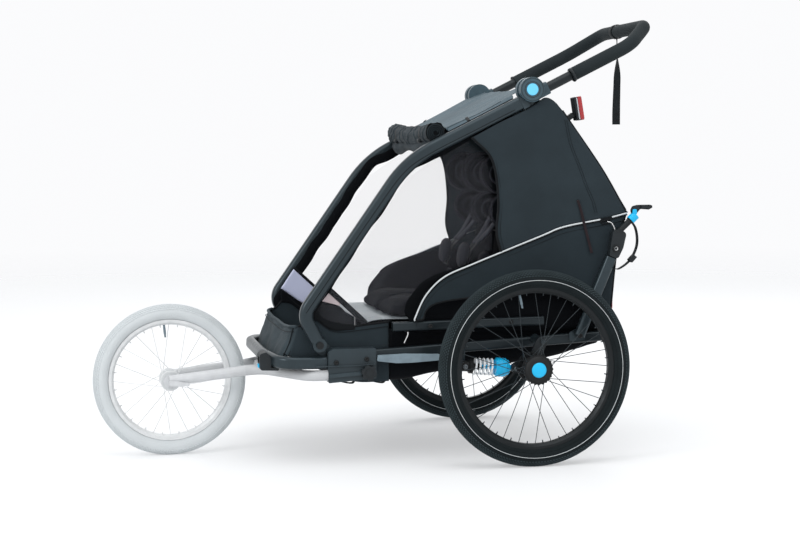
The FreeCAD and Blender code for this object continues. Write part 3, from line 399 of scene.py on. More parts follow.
def coons(bottom, top, left, right):
    """A grid of points inside four lines that meet at the corners."""
    rows, columns = len(left), len(bottom)
    grid = []
    for i in range(rows):
        v = i / (rows - 1)
        for j in range(columns):
            u = j / (columns - 1)
            ruled = bottom[j] * (1 - v) + top[j] * v + left[i] * (1 - u) + right[i] * u
            low = bottom[0] * (1 - u) + bottom[-1] * u
            high = top[0] * (1 - u) + top[-1] * u
            grid.append(ruled - (low * (1 - v) + high * v))
    return grid


def creased(point, amount, scale, seed):
    """A small repeatable push for cloth."""
    return amount * noise.noise(point * scale + Vector((seed, seed * 0.7, seed * 1.3)))


def drawn(name, points, rows, columns, look, thickness=0.0016):
    """A sheet drawn as a grid of points, which stores its area and its flat size."""
    thing = piece(name, points, grid_faces(rows, columns), look, None)
    thing["area"] = sum(face.area for face in thing.data.polygons)
    thing["flat"] = grid_size(points, rows, columns)
    return thicken(thing, thickness)


def cloth(name, lines, look, swell, outward, crease, thickness=0.0012, seed=1.0):
    """A sheet stretched inside four lines (bottom, top, left, right), swollen and creased."""
    bottom, top, left, right = lines
    points = coons(bottom, top, left, right)
    rows, columns = len(left), len(bottom)
    moved = []
    for k, point in enumerate(points):
        v, u = (k // columns) / (rows - 1), (k % columns) / (columns - 1)
        hold = math.sin(math.pi * u) * math.sin(math.pi * v)
        lift = swell * hold**0.6 if hold > 0 else 0
        free = min(1, 4 * hold)
        lift += creased(point, crease, 9, seed) * free + creased(point, crease * 0.5, 26, seed) * free
        moved.append(point + outward * lift)
    return drawn(name, moved, rows, columns, look, thickness)


def grid_size(points, rows, columns):
    """The mean length of a grid's rows and of its columns."""
    along = [line_length(points[i * columns:(i + 1) * columns]) for i in range(rows)]
    across = [line_length(points[j::columns]) for j in range(columns)]
    return sum(along) / rows, sum(across) / columns


def line_length(line):
    return sum((b - a).length for a, b in zip(line, line[1:]))


def turns(steps, last=0):
    """Equal steps of angle round a circle; last=1 also gives the closing one."""
    return [2 * math.pi * k / steps for k in range(steps + last)]


def circle(centre, radius, steps, y=0.0):
    """A closed upright circle of points, moved across by y."""
    return [centre + Vector((radius * math.cos(a), y, radius * math.sin(a))) for a in turns(steps, 1)]


def frames_along(line, up=ACROSS):
    """Tangent, side and normal at each point of a line; the side stays as near to up as it can."""
    made = []
    for k in range(len(line)):
        ahead = (line[min(k + 1, len(line) - 1)] - line[max(k - 1, 0)]).normalized()
        side = up - ahead * up.dot(ahead)
        side = side.normalized() if side.length > 1e-4 else ahead.orthogonal().normalized()
        made.append((ahead, side, ahead.cross(side)))
    return made


def sweep(name, line, section, look, body, up=ACROSS, scale=None):
    """A section of (side, normal) points swept along a line; scale gives a size at each point."""
    rings = []
    for k, (point, (_, side, normal)) in enumerate(zip(line, frames_along(line, up))):
        grow = scale[k] if scale else 1
        rings += [point + side * (s * grow) + normal * (n * grow) for s, n in section]
    count = len(section)
    faces = grid_faces(len(line), count, False, True)
    faces.append(tuple(range(count))[::-1])
    faces.append(tuple(range(len(rings) - count, len(rings))))
    return piece(name, rings, faces, look, body)


def thread(name, line, radius, look, body, up=ACROSS):
    """A thin cord or seam that follows a line point by point."""
    return sweep(name, line, ring_section(radius, 8), look, body, up)


def ring_section(radius, count=12, squash=1.0):
    return [(radius * math.cos(a), radius * squash * math.sin(a)) for a in turns(count)]


def strap_section(width, thick):
    """A flat section with rounded edges."""
    w, t = width / 2, thick / 2
    return [(-w, -t * 0.4), (-w + t, -t), (w - t, -t), (w, -t * 0.4), (w, t * 0.4), (w - t, t),
            (-w + t, t), (-w, t * 0.4)]


def rope(name, points, radius, look, body, count=40):
    """A round cord along a smooth line."""
    return sweep(name, smooth_line(points, count), ring_section(radius), look, body)


def strap(name, points, width, thick, look, body, up=ACROSS, count=30):
    """Flat webbing along a smooth line."""
    return sweep(name, smooth_line(points, count), strap_section(width, thick), look, body, up)


def lathe(name, profile, centre, axis, look, body, steps=72):
    """(radius, distance along the axis) points turned about an axis."""
    turn = UP.rotation_difference(Vector(axis)).to_matrix()
    corners = []
    for radius, along in profile:
        for a in turns(steps):
            corners.append(centre + turn @ Vector((radius * math.cos(a), radius * math.sin(a), along)))
    return piece(name, corners, grid_faces(len(profile), steps, False, True), look, body)


def joined(name, things):
    """Several meshes as one object."""
    with bpy.context.temp_override(active_object=things[0], selected_editable_objects=things):
        bpy.ops.object.join()
    things[0].name = name
    return things[0]


def bevelled(name, outline, low, high, look, body, bevel=0.0015, replaces=()):
    """A side-view outline made solid between two distances along Y, with rounded edges."""
    count = len(outline)
    corners = [at(x, low, z) for x, z in outline] + [at(x, high, z) for x, z in outline]
    faces = [tuple(range(count)), tuple(range(2 * count - 1, count - 1, -1))]
    faces += [(k, k + count, (k + 1) % count + count, (k + 1) % count) for k in range(count)]
    thing = piece(name, corners, faces, look, None, smooth=True)
    edge = thing.modifiers.new("edge", "BEVEL")
    edge.width, edge.segments, edge.limit_method = bevel, 3, "ANGLE"
    apply_modifiers(thing)
    for face in thing.data.polygons:
        face.use_smooth = True
    thing.data.set_sharp_from_angle(angle=math.radians(40))
    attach(thing, body)
    if replaces:
        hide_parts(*replaces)
    return thing


def as_sheet(thing, body, replaces=()):
    """Place a sheet from drawn(): it rides on a body or, without one, has its place baked into its
    mesh.
    """
    if body:
        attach(thing, body)
    else:
        over_fold(thing)
    if replaces:
        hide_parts(*replaces)
    return thing


VOXEL = 0.007
PRESSURE = 4.0
PUFF_FRAMES = 16


def inflate(thing, cap):
    """Puff a closed shape like a stuffed cushion, with a limit on how far a point moves."""
    remesh = thing.modifiers.new("even", "REMESH")
    remesh.mode, remesh.voxel_size = "VOXEL", VOXEL
    apply_modifiers(thing)
    rest = np.array([v.co for v in thing.data.vertices])
    sim = thing.modifiers.new("sim", "CLOTH")
    sim.settings.use_pressure = True
    sim.settings.uniform_pressure_force = PRESSURE
    sim.settings.effector_weights.gravity = 0
    sim.settings.quality = 4
    sim.point_cache.frame_end = PUFF_FRAMES + 4
    for step in range(1, PUFF_FRAMES + 1):
        bpy.context.scene.frame_set(step)
    apply_modifiers(thing)
    now = np.array([v.co for v in thing.data.vertices])
    push = now - rest
    far = np.linalg.norm(push, axis=1, keepdims=True)
    now = rest + push * np.minimum(1, cap / np.maximum(far, 1e-9))
    thing.data.vertices.foreach_set("co", now.ravel())
    bpy.context.scene.frame_set(1)
    soften = thing.modifiers.new("soft", "SMOOTH")
    soften.factor, soften.iterations = 0.6, 6
    apply_modifiers(thing)
    for face in thing.data.polygons:
        face.use_smooth = True
    return thing


# ---------------- studio
EYE = at(-1.2216, -4.5172, 0.8335)
YAW, PITCH, ROLL = 0.2079, 0.0736, -0.0068
LENS, SENSOR_WIDTH = 75.6, 36
FLOOR_RINGS = (16, 9, 4, 0.5)
FLOOR_FADE, FLOOR_ALPHA = (3.0, 9.0), 0.62


def studio():
    """Pale floor that fades out, soft light and the camera."""
    scene = bpy.context.scene
    scene.view_settings.view_transform = "Standard"
    world = bpy.data.worlds.new("studio")
    world.use_nodes = True
    world.node_tree.nodes["Background"].inputs["Color"].default_value = (0.965, 0.968, 0.98, 1)
    world.node_tree.nodes["Background"].inputs["Strength"].default_value = 1.0
    scene.world = world
    corners = []
    sides = 64
    for radius in FLOOR_RINGS:
        corners += [(radius * math.cos(a), radius * math.sin(a), 0) for a in np.linspace(0, 2 * math.pi,
                                                                                         sides, False)]
    faces = grid_faces(len(FLOOR_RINGS), sides, False,
                       True) + [tuple(range(len(corners) - sides, len(corners)))]
    floor_look = LOOKS["floor"] = Look("floor", (0.86, 0.875, 0.885), 0.9)
    gap = floor_look.node("ShaderNodeVectorMath", {0: floor_look.place},
                          operation="LENGTH").outputs["Value"]
    fade = floor_look.between(gap, *FLOOR_FADE, FLOOR_ALPHA, 0)
    floor_look.tree.links.new(fade, floor_look.shader.inputs["Alpha"])
    floor = piece("floor", corners, faces, "floor", None, smooth=False)
    lamps = {
        "top": ((0.3, -1.5, 4.2), 3.5, 60, (0, 0, 0.3)),
        "left": ((-4.2, -2.6, 2.9), 1.6, 70, (-0.2, 0, 0.6)),
        "back": ((1.5, 3.5, 3.2), 3.0, 45, (0, 0, 0.7)),
    }
    for name, (where, width, power, aim) in lamps.items():
        lamp = bpy.data.lights.new(name, "AREA")
        lamp.size, lamp.energy = width, power
        holder = bpy.data.objects.new("lamp_" + name, lamp)
        holder.location = where
        holder.rotation_euler = (Vector(aim) - Vector(where)).to_track_quat("-Z", "Y").to_euler()
        scene.collection.objects.link(holder)
    camera = bpy.data.cameras.new("camera")
    camera.lens, camera.sensor_width = LENS, SENSOR_WIDTH
    holder = bpy.data.objects.new("camera", camera)
    ahead = Vector((math.sin(YAW) * math.cos(PITCH), math.cos(YAW) * math.cos(PITCH), -math.sin(PITCH)))
    turn = ahead.to_track_quat("-Z", "Y").to_matrix().to_4x4()
    holder.matrix_world = Matrix.Translation(EYE) @ turn @ Matrix.Rotation(ROLL, 4, "Z")
    scene.collection.objects.link(holder)
    scene.camera = holder


studio()


# ---------------- driving places
PANEL_HALF = 0.2818
WINDOW_HALF = 0.251
SEAT_HALF = 0.205
PIPING = [(-0.289, 0.381), (-0.261, 0.437), (-0.212, 0.484), (-0.136, 0.516), (-0.049, 0.549),
          (0.052, 0.587)]
PIPING += [(0.115, 0.610), (0.230, 0.630), (0.287, 0.643)]
FRONT_EDGE = [(-0.058, 0.547), (-0.070, 0.600), (-0.065, 0.682), (-0.081, 0.786), (-0.135, 0.845)]
REAR_EDGE = [(0.287, 0.645), (0.221, 0.757), (0.140, 0.872), (0.110, 0.914)]
TUBE_FACE = [(-0.135, 0.845), (-0.060, 0.884), (0.0, 0.911), (0.035, 0.930), (0.060, 0.948),
             (0.084, 0.941), (0.110, 0.914)]
HEM_ARCH = [(-0.289, 0.374), (-0.268, 0.376), (-0.262, 0.394), (-0.245, 0.411), (-0.210, 0.421),
            (-0.149, 0.428)]
HEM_ARCH += [(0.0, 0.440), (0.120, 0.420), (0.234, 0.350)]
WALL_EDGE = [(0.234, 0.350), (0.242, 0.400), (0.262, 0.560), (0.287, 0.643)]
PILLAR_LINE = [(-0.540, 0.404), (-0.300, 0.742)]
ROOF_LINE = [(0.086, 0.938), (0.034, 0.980), (-0.020, 0.956), (-0.100, 0.913), (-0.194, 0.870)]


def side_view(points, half, side=-1):
    """Side-view places (x, z) at a distance from the middle plane."""
    return [at(x, side * half, z) for x, z in points]


def side_line(points, half, side, count):
    """A smooth line through side-view places."""
    return smooth_line(side_view(points, half, side), count)


def over_fold(thing):
    """Bake a piece's place into its mesh."""
    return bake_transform(thing)


def rope_over_fold(name, points, radius, look, count=60):
    return over_fold(rope(name, points, radius, look, None, count))


# ---------------- cabin fabric
def side_fabric(name, side):
    """The upper side panel; finish_side_fabric() adds its bound front edge and the seams near its rear
    edge.
    """
    out = Vector((0, side, 0))
    bottom = side_line([(-0.058, 0.547)] + PIPING[5:], PANEL_HALF, side, 60)
    top = side_line(TUBE_FACE, PANEL_HALF, side, 60)
    front = side_line(FRONT_EDGE, PANEL_HALF, side, 60)
    rear = side_line(REAR_EDGE, PANEL_HALF, side, 60)
    panel = cloth(f"side_fabric_{name}", (bottom, top, front, rear), "cloth_side", 0.004, out, 0.0022,
                  seed=side)
    as_sheet(panel, None, ["side_fabrics"])
    return panel


def finish_side_fabric(name, side, tree):
    rope_over_fold(f"front_hem_{name}", side_view(FRONT_EDGE, PANEL_HALF + 0.001, side), 0.0032,
                   "binding", 70)
    seam = [(0.1150, 0.8900), (0.1273, 0.8293), (0.1504, 0.7714), (0.1714, 0.7160), (0.1894, 0.6770),
            (0.1990, 0.6440)]
    for k, shift in enumerate((0, 0.006)):
        line = side_line([(x + shift, z) for x, z in seam], PANEL_HALF, side, 80)
        hits = [tree.ray_cast(p + Vector((0, side * 0.1, 0)), Vector((0, -side, 0)))[0] for p in line]
        laid = [hit + Vector((0, side * 0.0002, 0)) for hit in hits if hit]
        over_fold(thread(f"rear_seam_{name}_{k}", laid, 0.0008, "seam_thread", None))
    inner = [(x + 0.010, z) for x, z in FRONT_EDGE[:-1]]
    rope_over_fold(f"hem_stitch_{name}", side_view(inner, PANEL_HALF + 0.0013, side), 0.0005, "binding",
                   60)


SKIRT_HALF = 0.2590


def lower_panel(name, side):
    """The side below the reflective piping, with its arched hem and the skirt recessed inside it, whose
    darkness is painted shade.
    """
    out = Vector((0, side, 0))
    top = side_line([(-0.292, 0.374)] + PIPING, PANEL_HALF, side, 90)
    bottom = side_line(HEM_ARCH, PANEL_HALF, side, 90)
    front = straight_line([bottom[0], top[0]], 40)
    rear = side_line(WALL_EDGE, PANEL_HALF, side, 40)
    panel = cloth(f"lower_panel_{name}", (bottom, top, front, rear), "cloth_lower", 0.003, out, 0.0015,
                  seed=3 + side)
    as_sheet(panel, "chassis", replaces=["lower_panels"])
    # The recessed skirt inside the arched hem: a real wall, its very dark colour painted shade.
    low = side_line([(-0.294, 0.366), (-0.270, 0.340), (0.0, 0.334), (0.234, 0.333)], SKIRT_HALF, side,
                    50)
    shade_lining = [(-0.312, 0.392), (-0.307, 0.419), (-0.282, 0.451), (-0.252, 0.478), (-0.150, 0.512),
              (0.0, 0.530), (0.240, 0.560)]
    high = side_line(shade_lining, SKIRT_HALF, side, 50)
    ends = [straight_line([low[k], high[k]], 16) for k in (0, -1)]
    skirt = cloth(f"inner_skirt_{name}", (low, high, *ends), "cloth_inner", -0.002, out, 0.002,
                  seed=5 + side)
    as_sheet(skirt, "chassis")
    sweep_piping(name, side)


def sweep_piping(name, side):
    """Reflective piping, broken at the hook pocket, its dark keder and the stitches below it."""
    full = side_line([(-0.290, 0.372)] + PIPING, PANEL_HALF + 0.0022, side, 160)
    pocket = (AXLE + 0.214, AXLE + 0.243)
    runs = [[p for p in full if p.x < pocket[0]], [p for p in full if p.x > pocket[1]]]
    for k, run in enumerate(runs):
        sweep(f"piping_{name}_{k}", run, ring_section(0.0021), "piping", "chassis")
    for label, drop, radius in (("keder", 0.0042, 0.0016), ("border_stitch", 0.0155, 0.0006)):
        low = [p + Vector((drop * 0.35, 0, -drop)) for p in full]
        thread(f"{label}_{name}", low, radius, "binding", "chassis")
    arch = side_line(HEM_ARCH, PANEL_HALF + 0.0008, side, 100)
    thread(f"arch_hem_{name}", arch, 0.0022, "binding", "chassis")
    frame_line = [(0.213, 0.6285), (0.217, 0.6165), (0.236, 0.6190), (0.243, 0.6330)]
    rope(f"pocket_edge_{name}", side_view(frame_line, PANEL_HALF + 0.002, side), 0.0016, "binding",
         "chassis", 24)
    fill = [(0.214, 0.630), (0.218, 0.618), (0.235, 0.6205), (0.242, 0.634)]
    low, high = (PANEL_HALF - 0.001, PANEL_HALF + 0.0016)
    bevelled(f"hook_pocket_{name}", fill, *sorted((side * low, side * high)), "binding", "chassis",
             0.0004)


def rear_fabric():
    """The sloping back and the wall behind the luggage space, with their edge bindings."""
    slope = [(0.074, 0.944), (0.093, 0.934), (0.108, 0.915), (0.140, 0.874), (0.221, 0.757),
             (0.2875, 0.652)]
    left, right = (side_line(slope[::-1], 0.279, side, 60) for side in (-1, 1))
    bottom, top = straight_line([left[0], right[0]], 60), straight_line([left[-1], right[-1]], 60)
    back = cloth("rear_slope", (bottom, top, left, right), "cloth_side", -0.006,
                 Vector((0.85, 0, 0.53)), 0.003, seed=9)
    as_sheet(back, None, ["rear_upper_fabric"])
    wall_line = [(0.240, 0.336), (0.245, 0.400), (0.262, 0.555), (0.287, 0.646)]
    left, right = (side_line(wall_line, 0.2795, side, 50) for side in (-1, 1))
    bottom, top = straight_line([left[0], right[0]], 60), straight_line([left[-1], right[-1]], 60)
    wall = cloth("rear_wall", (bottom, top, left, right), "cloth_lower", 0.002, BACK, 0.003, seed=11)
    as_sheet(wall, "chassis")
    for name, side in SIDES.items():
        rope_over_fold(f"rear_binding_{name}", side_view(REAR_EDGE, 0.2805, side), 0.0028, "binding")
        rope(f"wall_binding_{name}", side_view(wall_line, 0.2805, side), 0.0028, "binding", "chassis",
             50)
    line = [Vector((bottom_point.x + 0.003, bottom_point.y, bottom_point.z)) for bottom_point in top]
    sweep("rear_piping", line, ring_section(0.0022), "piping", "chassis", UP)
    zip_line = [at(0.2470, y, 0.4700) for y in (-0.25, 0, 0.25)]
    strap("rear_zip", [p + Vector((0.0035, 0, 0)) for p in zip_line], 0.012, 0.002, "binding",
          "chassis", UP)
    rear_window()


def rear_window():
    """The binding that frames the vent in the sloping back."""
    frame_line = [(0.150, -0.16), (0.262, -0.19), (0.262, 0.19), (0.150, 0.16)]
    points = []
    for x, y in frame_line:
        z = np.interp(x, (0.140, 0.221, 0.2875), (0.884, 0.757, 0.652))
        points.append(at(x + 0.004, y, z + 0.0025))
    loop = straight_line(points + points[:1], 120)
    over_fold(thread("vent_frame", loop, 0.0028, "binding", None, Vector((0.85, 0, 0.53))))


def window(name, side):
    """Clear film between the pillar and the side fabric, with a band of binding low at its front and
    the gusset in its corner.
    """
    out = Vector((0, side, 0))
    low = [(-0.540, 0.404), (-0.520, 0.380), (-0.450, 0.364), (-0.350, 0.374), (-0.291, 0.385),
           (-0.261, 0.441)]
    low += [(-0.212, 0.488), (-0.136, 0.519), (-0.076, 0.552)]
    rear = [(-0.076, 0.552), (-0.072, 0.682), (-0.088, 0.786), (-0.140, 0.836)]
    bottom = side_line(low, WINDOW_HALF, side, 70)
    top = side_line([(-0.300, 0.742), (-0.230, 0.788), (-0.140, 0.836)], WINDOW_HALF, side, 70)
    front = side_line(PILLAR_LINE, WINDOW_HALF, side, 50)
    back = side_line(rear, WINDOW_HALF, side, 50)
    pane = cloth(f"window_film_{name}", (bottom, top, front, back), "film", 0.003, out, 0.002, 0.0006,
                 13 + side)
    as_sheet(pane, None, ["side_windows"])
    band = side_view([(-0.530, 0.476), (-0.470, 0.420), (-0.413, 0.366)], WINDOW_HALF - 0.003, side)
    over_low_fold(strap(f"window_band_{name}", band, 0.015, 0.002, "binding", None,
                        Vector((0.68, 0, 0.73))))
    corner_gusset(name, side, out)


FILM_HEM = {
    "left": [(-0.552, 0.412), (-0.538, 0.4265), (-0.5165, 0.4226), (-0.4820, 0.4125), (-0.466, 0.396),
             (-0.442, 0.372)],
    "right": [(-0.566, 0.420), (-0.5584, 0.414), (-0.532, 0.395), (-0.507, 0.378), (-0.470, 0.366),
              (-0.442, 0.362)],
}
FILM_TOP = {"left": [(-0.533, 0.476), (-0.479, 0.4190)], "right": [(-0.529, 0.474), (-0.428, 0.379)]}


def corner_gusset(name, side, out):
    """The dark fabric low in the window's corner, with a darker sheet just inside it that is painted
    shade, and a strip of tinted film above it.
    """
    floor_line = [(-0.566, 0.380), (-0.540, 0.375), (-0.500, 0.350), (-0.442, 0.350)]
    outer = "binding" if side < 0 else "cloth_lower"
    # The second, darker sheet just inside is painted shade on the gusset's inner face.
    for label, half, look in (("outer", WINDOW_HALF - 0.004, outer),
                              ("shade_lining", WINDOW_HALF - 0.008, "cloth_inner")):
        low, hem = (side_line(line, half, side, 30) for line in (floor_line, FILM_HEM[name]))
        ends = [straight_line([low[k], hem[k]], 12) for k in (0, -1)]
        gusset = cloth(f"gusset_{label}_{name}", (low, hem, *ends), look, 0.001, out, 0.002,
                       seed=16 + side)
        as_sheet(gusset, "chassis")
    share = 4 if side < 0 else 6
    base = side_line(FILM_HEM[name][:share], WINDOW_HALF - 0.005, side, 24)
    top = straight_line(side_view(FILM_TOP[name], WINDOW_HALF - 0.005, side), 24)
    ends = [straight_line([base[k], top[k]], 10) for k in (0, -1)]
    film = cloth(f"corner_film_{name}", (base, top, *ends), "film_pink" if side < 0 else "film_blue", 0,
                 out, 0.0008,
                 0.0006, 15 + side)
    as_sheet(film, "chassis")


def over_low_fold(thing):
    """Bake the place of a piece that hangs low between the chassis and the pillar into its mesh."""
    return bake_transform(thing)


def pillar_sleeve(name, side):
    """The dark fabric sleeve that holds the window along the inside of the tube, and runs on round the
    tube's lower bend below the window.
    """
    # The first three places carry the dark sleeve round the tube's lower bend, below the window.
    line = [(-0.572, 0.355), (-0.579, 0.382), (-0.570, 0.400), (-0.500, 0.499), (-0.400, 0.640),
            (-0.310, 0.766)]
    line += [(-0.250, 0.802), (-0.130, 0.860), (-0.020, 0.914)]
    path = side_line(line, 0.2515, side, 120)
    waved = []
    for k, point in enumerate(path):
        turn = (path[min(k + 1, 119)] - path[max(k - 1, 0)]).normalized()
        off = Vector((turn.z, 0, -turn.x))
        waved.append(point + off * (0.006 + creased(point, 0.005, 18, 2 + side)))
    facing = Vector((0.8, 0, -0.6))
    sweep(f"pillar_sleeve_{name}", waved, strap_section(0.027, 0.003), "cloth_inner", "roof_frame",
          facing)


# ---------------- footwell and belly
RIM_HALF = 0.245


def footwell():
    """The fabric foot box: floor, side walls with a dipped rim, and the rounded nose."""
    rim = [(-0.590, 0.362), (-0.580, 0.366), (-0.562, 0.386), (-0.5467, 0.3949), (-0.521, 0.372),
           (-0.495, 0.358)]
    rim += [(-0.459, 0.357), (-0.410, 0.362), (-0.352, 0.368)]
    sole = [(-0.614, 0.288), (-0.560, 0.258), (-0.475, 0.226), (-0.430, 0.212), (-0.352, 0.212)]
    for name, side in SIDES.items():
        out = Vector((0, side, 0))
        top, bottom = (side_line(line, RIM_HALF, side, 70) for line in (rim, sole))
        ends = [straight_line([bottom[k], top[k]], 30) for k in (0, -1)]
        wall = cloth(f"footwell_side_{name}", (bottom, top, *ends), "cloth_side", 0.0015, out, 0.003,
                     seed=20 + side)
        as_sheet(wall, "chassis", replaces=["footwell"])
        rope(f"footwell_rim_{name}", side_view(rim, RIM_HALF, side), 0.0028, "binding", "chassis", 80)
        seam = [(x, z - 0.012) for x, z in rim[3:]]
        rope(f"footwell_seam_{name}", side_view(seam, RIM_HALF + 0.0025, side), 0.0007, "binding",
             "chassis", 70)
    nose, floor = nose_points()
    as_sheet(drawn("footwell_nose", nose, *NOSE_GRID, "cloth_nose"), "chassis")
    nose_trim()
    as_sheet(drawn("footwell_floor", floor, *FLOOR_GRID, "cloth_inner"), "chassis")


NOSE_GRID = (30, 80)
FLOOR_GRID = (40, 30)
NOSE_FOOT = 0.268
NOSE_FACE = [(0.268, -0.640), (0.288, -0.632), (0.300, -0.626), (0.320, -0.617), (0.345, -0.610),
             (0.367, -0.6045)]
NOSE_RIM = [(0.0, 0.354), (0.10, 0.353), (0.19, 0.357), (0.245, 0.362)]


def nose_place(y, v, push=0.0):
    """A place on the nose's face: across, from its foot to its rim, which is rounded at the corners."""
    rim = np.interp(abs(y), *zip(*NOSE_RIM))
    height = NOSE_FOOT + v * (rim - NOSE_FOOT)
    corner = max(0.0, (abs(y) - 0.215) / 0.030)
    x = np.interp(height, *zip(*NOSE_FACE)) + 0.016 * corner**2 - push
    return at(x, y, height)


def nose_points():
    """The grid of the nose's face and that of the floor."""
    nose = []
    rows, columns = NOSE_GRID
    for i in range(rows):
        v = i / (rows - 1)
        loose = math.sin(math.pi * min(1, 0.15 + 0.85 * v))
        for y in np.linspace(-RIM_HALF, RIM_HALF, columns):
            fold = creased(Vector((y * 1.4, 0, v * 0.10)), 0.009, 10, 6)
            fold += creased(Vector((y, 0, v * 0.1)), 0.0015, 34, 7)
            nose.append(nose_place(y, v, 0.003 * loose + fold * (0.35 + 0.65 * loose)))
    sole = [(-0.628, 0.292), (-0.560, 0.259), (-0.475, 0.228), (-0.430, 0.2135), (-0.352, 0.2135)]
    floor = []
    rows, columns = FLOOR_GRID
    for p in smooth_line([Vector((x, 0, z)) for x, z in sole], rows):
        for y in np.linspace(-RIM_HALF, RIM_HALF, columns):
            floor.append(at(p.x, y, p.z + creased(Vector((p.x, y, 0)), 0.0015, 12, 8) + 0.001))
    return nose, floor


def nose_trim():
    """The padded hem along the nose's rim, its stitching and the two upright corner seams."""
    across = np.linspace(-0.243, 0.243, 90)
    for label, v, push, radius, look in (("hem", 1.0, 0.001, 0.0042, "cloth_nose"),
                                         ("stitch", 0.86, 0.006, 0.0008, "binding")):
        line = [nose_place(y, v, push) for y in across]
        sweep(f"nose_{label}", line, ring_section(radius, 10), look, "chassis", UP)
    for name, side in SIDES.items():
        line = [nose_place(side * 0.236, v, 0.003) for v in np.linspace(0.02, 0.96, 24)]
        thread(f"nose_seam_{name}", line, 0.0013, "binding", "chassis", BACK)


def belly():
    """The fabric floor under the seats: one sagging sheet with upright sides and strap tabs."""
    line = [(-0.351, 0.213), (-0.297, 0.214), (-0.216, 0.230), (-0.070, 0.242), (0.071, 0.255),
            (0.163, 0.277)]
    line += [(0.222, 0.292)]
    length = smooth_line([Vector((x, 0, z)) for x, z in line], 60)
    points = []
    for p in length:
        section = [Vector((0, -0.2465, 0.350)), Vector((0, -0.246, p.z + 0.030)),
                   Vector((0, -0.240, p.z + 0.007))]
        section += [Vector((0, -0.222, p.z)), Vector((0, 0, p.z))]
        section += [Vector((0, -q.y, q.z)) for q in section[:-1][::-1]]
        for q in evenly(section, 60):
            wave = creased(Vector((p.x, q.y, q.z)), 0.0025, 10, 12)
            points.append(at(p.x, q.y, q.z + (wave if abs(q.y) < 0.22 else 0)))
    tray = drawn("belly_cloth", points, 60, 60, "cloth_inner")
    as_sheet(tray, "chassis", replaces=["belly_tray"])
    for k, (x, y) in enumerate([(-0.455, -0.20), (-0.375, -0.21), (-0.455, 0.20), (-0.375, 0.21)]):
        tab = [at(x - 0.024, y, 0.2120), at(x - 0.008, y, 0.2068), at(x + 0.012, y, 0.2040),
               at(x + 0.020, y, 0.2110)]
        strap(f"belly_tab_{k}", tab, 0.022, 0.002, "webbing", "chassis")


# ---------------- roof and roll
def roof_place(x, z, share):
    """A place on the roof, at a share of its width; its sides turn down on to the tubes."""
    half = np.interp(x, (-0.0190, -0.0125), (0.268, 0.2275))
    y = share * half
    turned = max(0.0, (abs(y) - 0.240) / 0.028)
    tube_top = 0.934 + (x + 0.003) * 0.490 + 0.0205
    down = (z - tube_top) * turned**1.3
    sag = 0.007 * (1 - min(1, abs(y) / 0.24) ** 2)
    gather = creased(Vector((x * 3, y * 10, 0)), 0.0034, 2.4, 31) * np.interp(x, (-0.110, 0.0),
                                                                              (0.1, 1))
    soft = creased(Vector((x, y, 0)), 0.004, 11, 30)
    return at(x, y, z - down - sag + (gather + soft) * (1 - turned))


def roof():
    """The stretched roof, gathered near the handle, with its edge binding and side tabs."""
    line = smooth_line([Vector((x, 0, z)) for x, z in ROOF_LINE[1:]], 60)
    points = [roof_place(p.x, p.z, share) for p in line for share in np.linspace(-1, 1, 100)]
    cover = drawn("roof_cover", points, 60, 100, "cloth_roof", 0.0014)
    as_sheet(cover, "roof_frame", replaces=["roof_fabric"])
    for name, side in SIDES.items():
        edge = [roof_place(p.x, p.z + 0.001, side) for p in line if p.x < -0.020]
        thread(f"roof_edge_{name}", edge, 0.0014, "binding", "roof_frame")
        seam = [roof_place(p.x, p.z + 0.0012, side * 0.925) for p in line if p.x < -0.045]
        thread(f"roof_seam_{name}", seam, 0.0008, "seam_thread", "roof_frame")
        tab = [roof_place(-0.140, 0.896, side * share) + Vector((0, 0, 0.0016)) for share in (0.90,
                                                                                              0.94,
                                                                                              0.97,
                                                                                              1.0)]
        strap(f"roof_tab_{name}", tab, 0.008, 0.0016, "webbing", "roof_frame", Vector((0.87, 0, 0.49)),
              12)
    front = [roof_place(line[-1].x, line[-1].z, share) for share in np.linspace(-0.95, 0.95, 60)]
    thread("roof_front_hem", front, 0.0022, "cloth_roof", "roof_frame", UP)


ROLL_CENTRE = at(-0.224, 0, 0.859)


def roll_place(y, a, lift=0.0):
    """A place on the wrinkled roll, at a distance across and an angle round it."""
    place = Vector((math.cos(a), y * 6, math.sin(a)))
    waist = 1 - 0.13 * math.exp(-(((abs(y) - 0.150) / 0.012) ** 2))
    bulge = 1 + 0.10 * math.exp(-(((y - 0.19) / 0.06) ** 2)) + 0.04 * math.sin(y * 21 + 1)
    radius = 0.0262 * waist * bulge * (1 + creased(place, 0.12, 2.2, 4) + creased(place, 0.07, 6,
                                                                                  5)) + lift
    sag = -0.008 * (1 - (y / 0.25) ** 2)
    return ROLL_CENTRE + Vector((radius * math.cos(a), y, radius * math.sin(a) + sag))


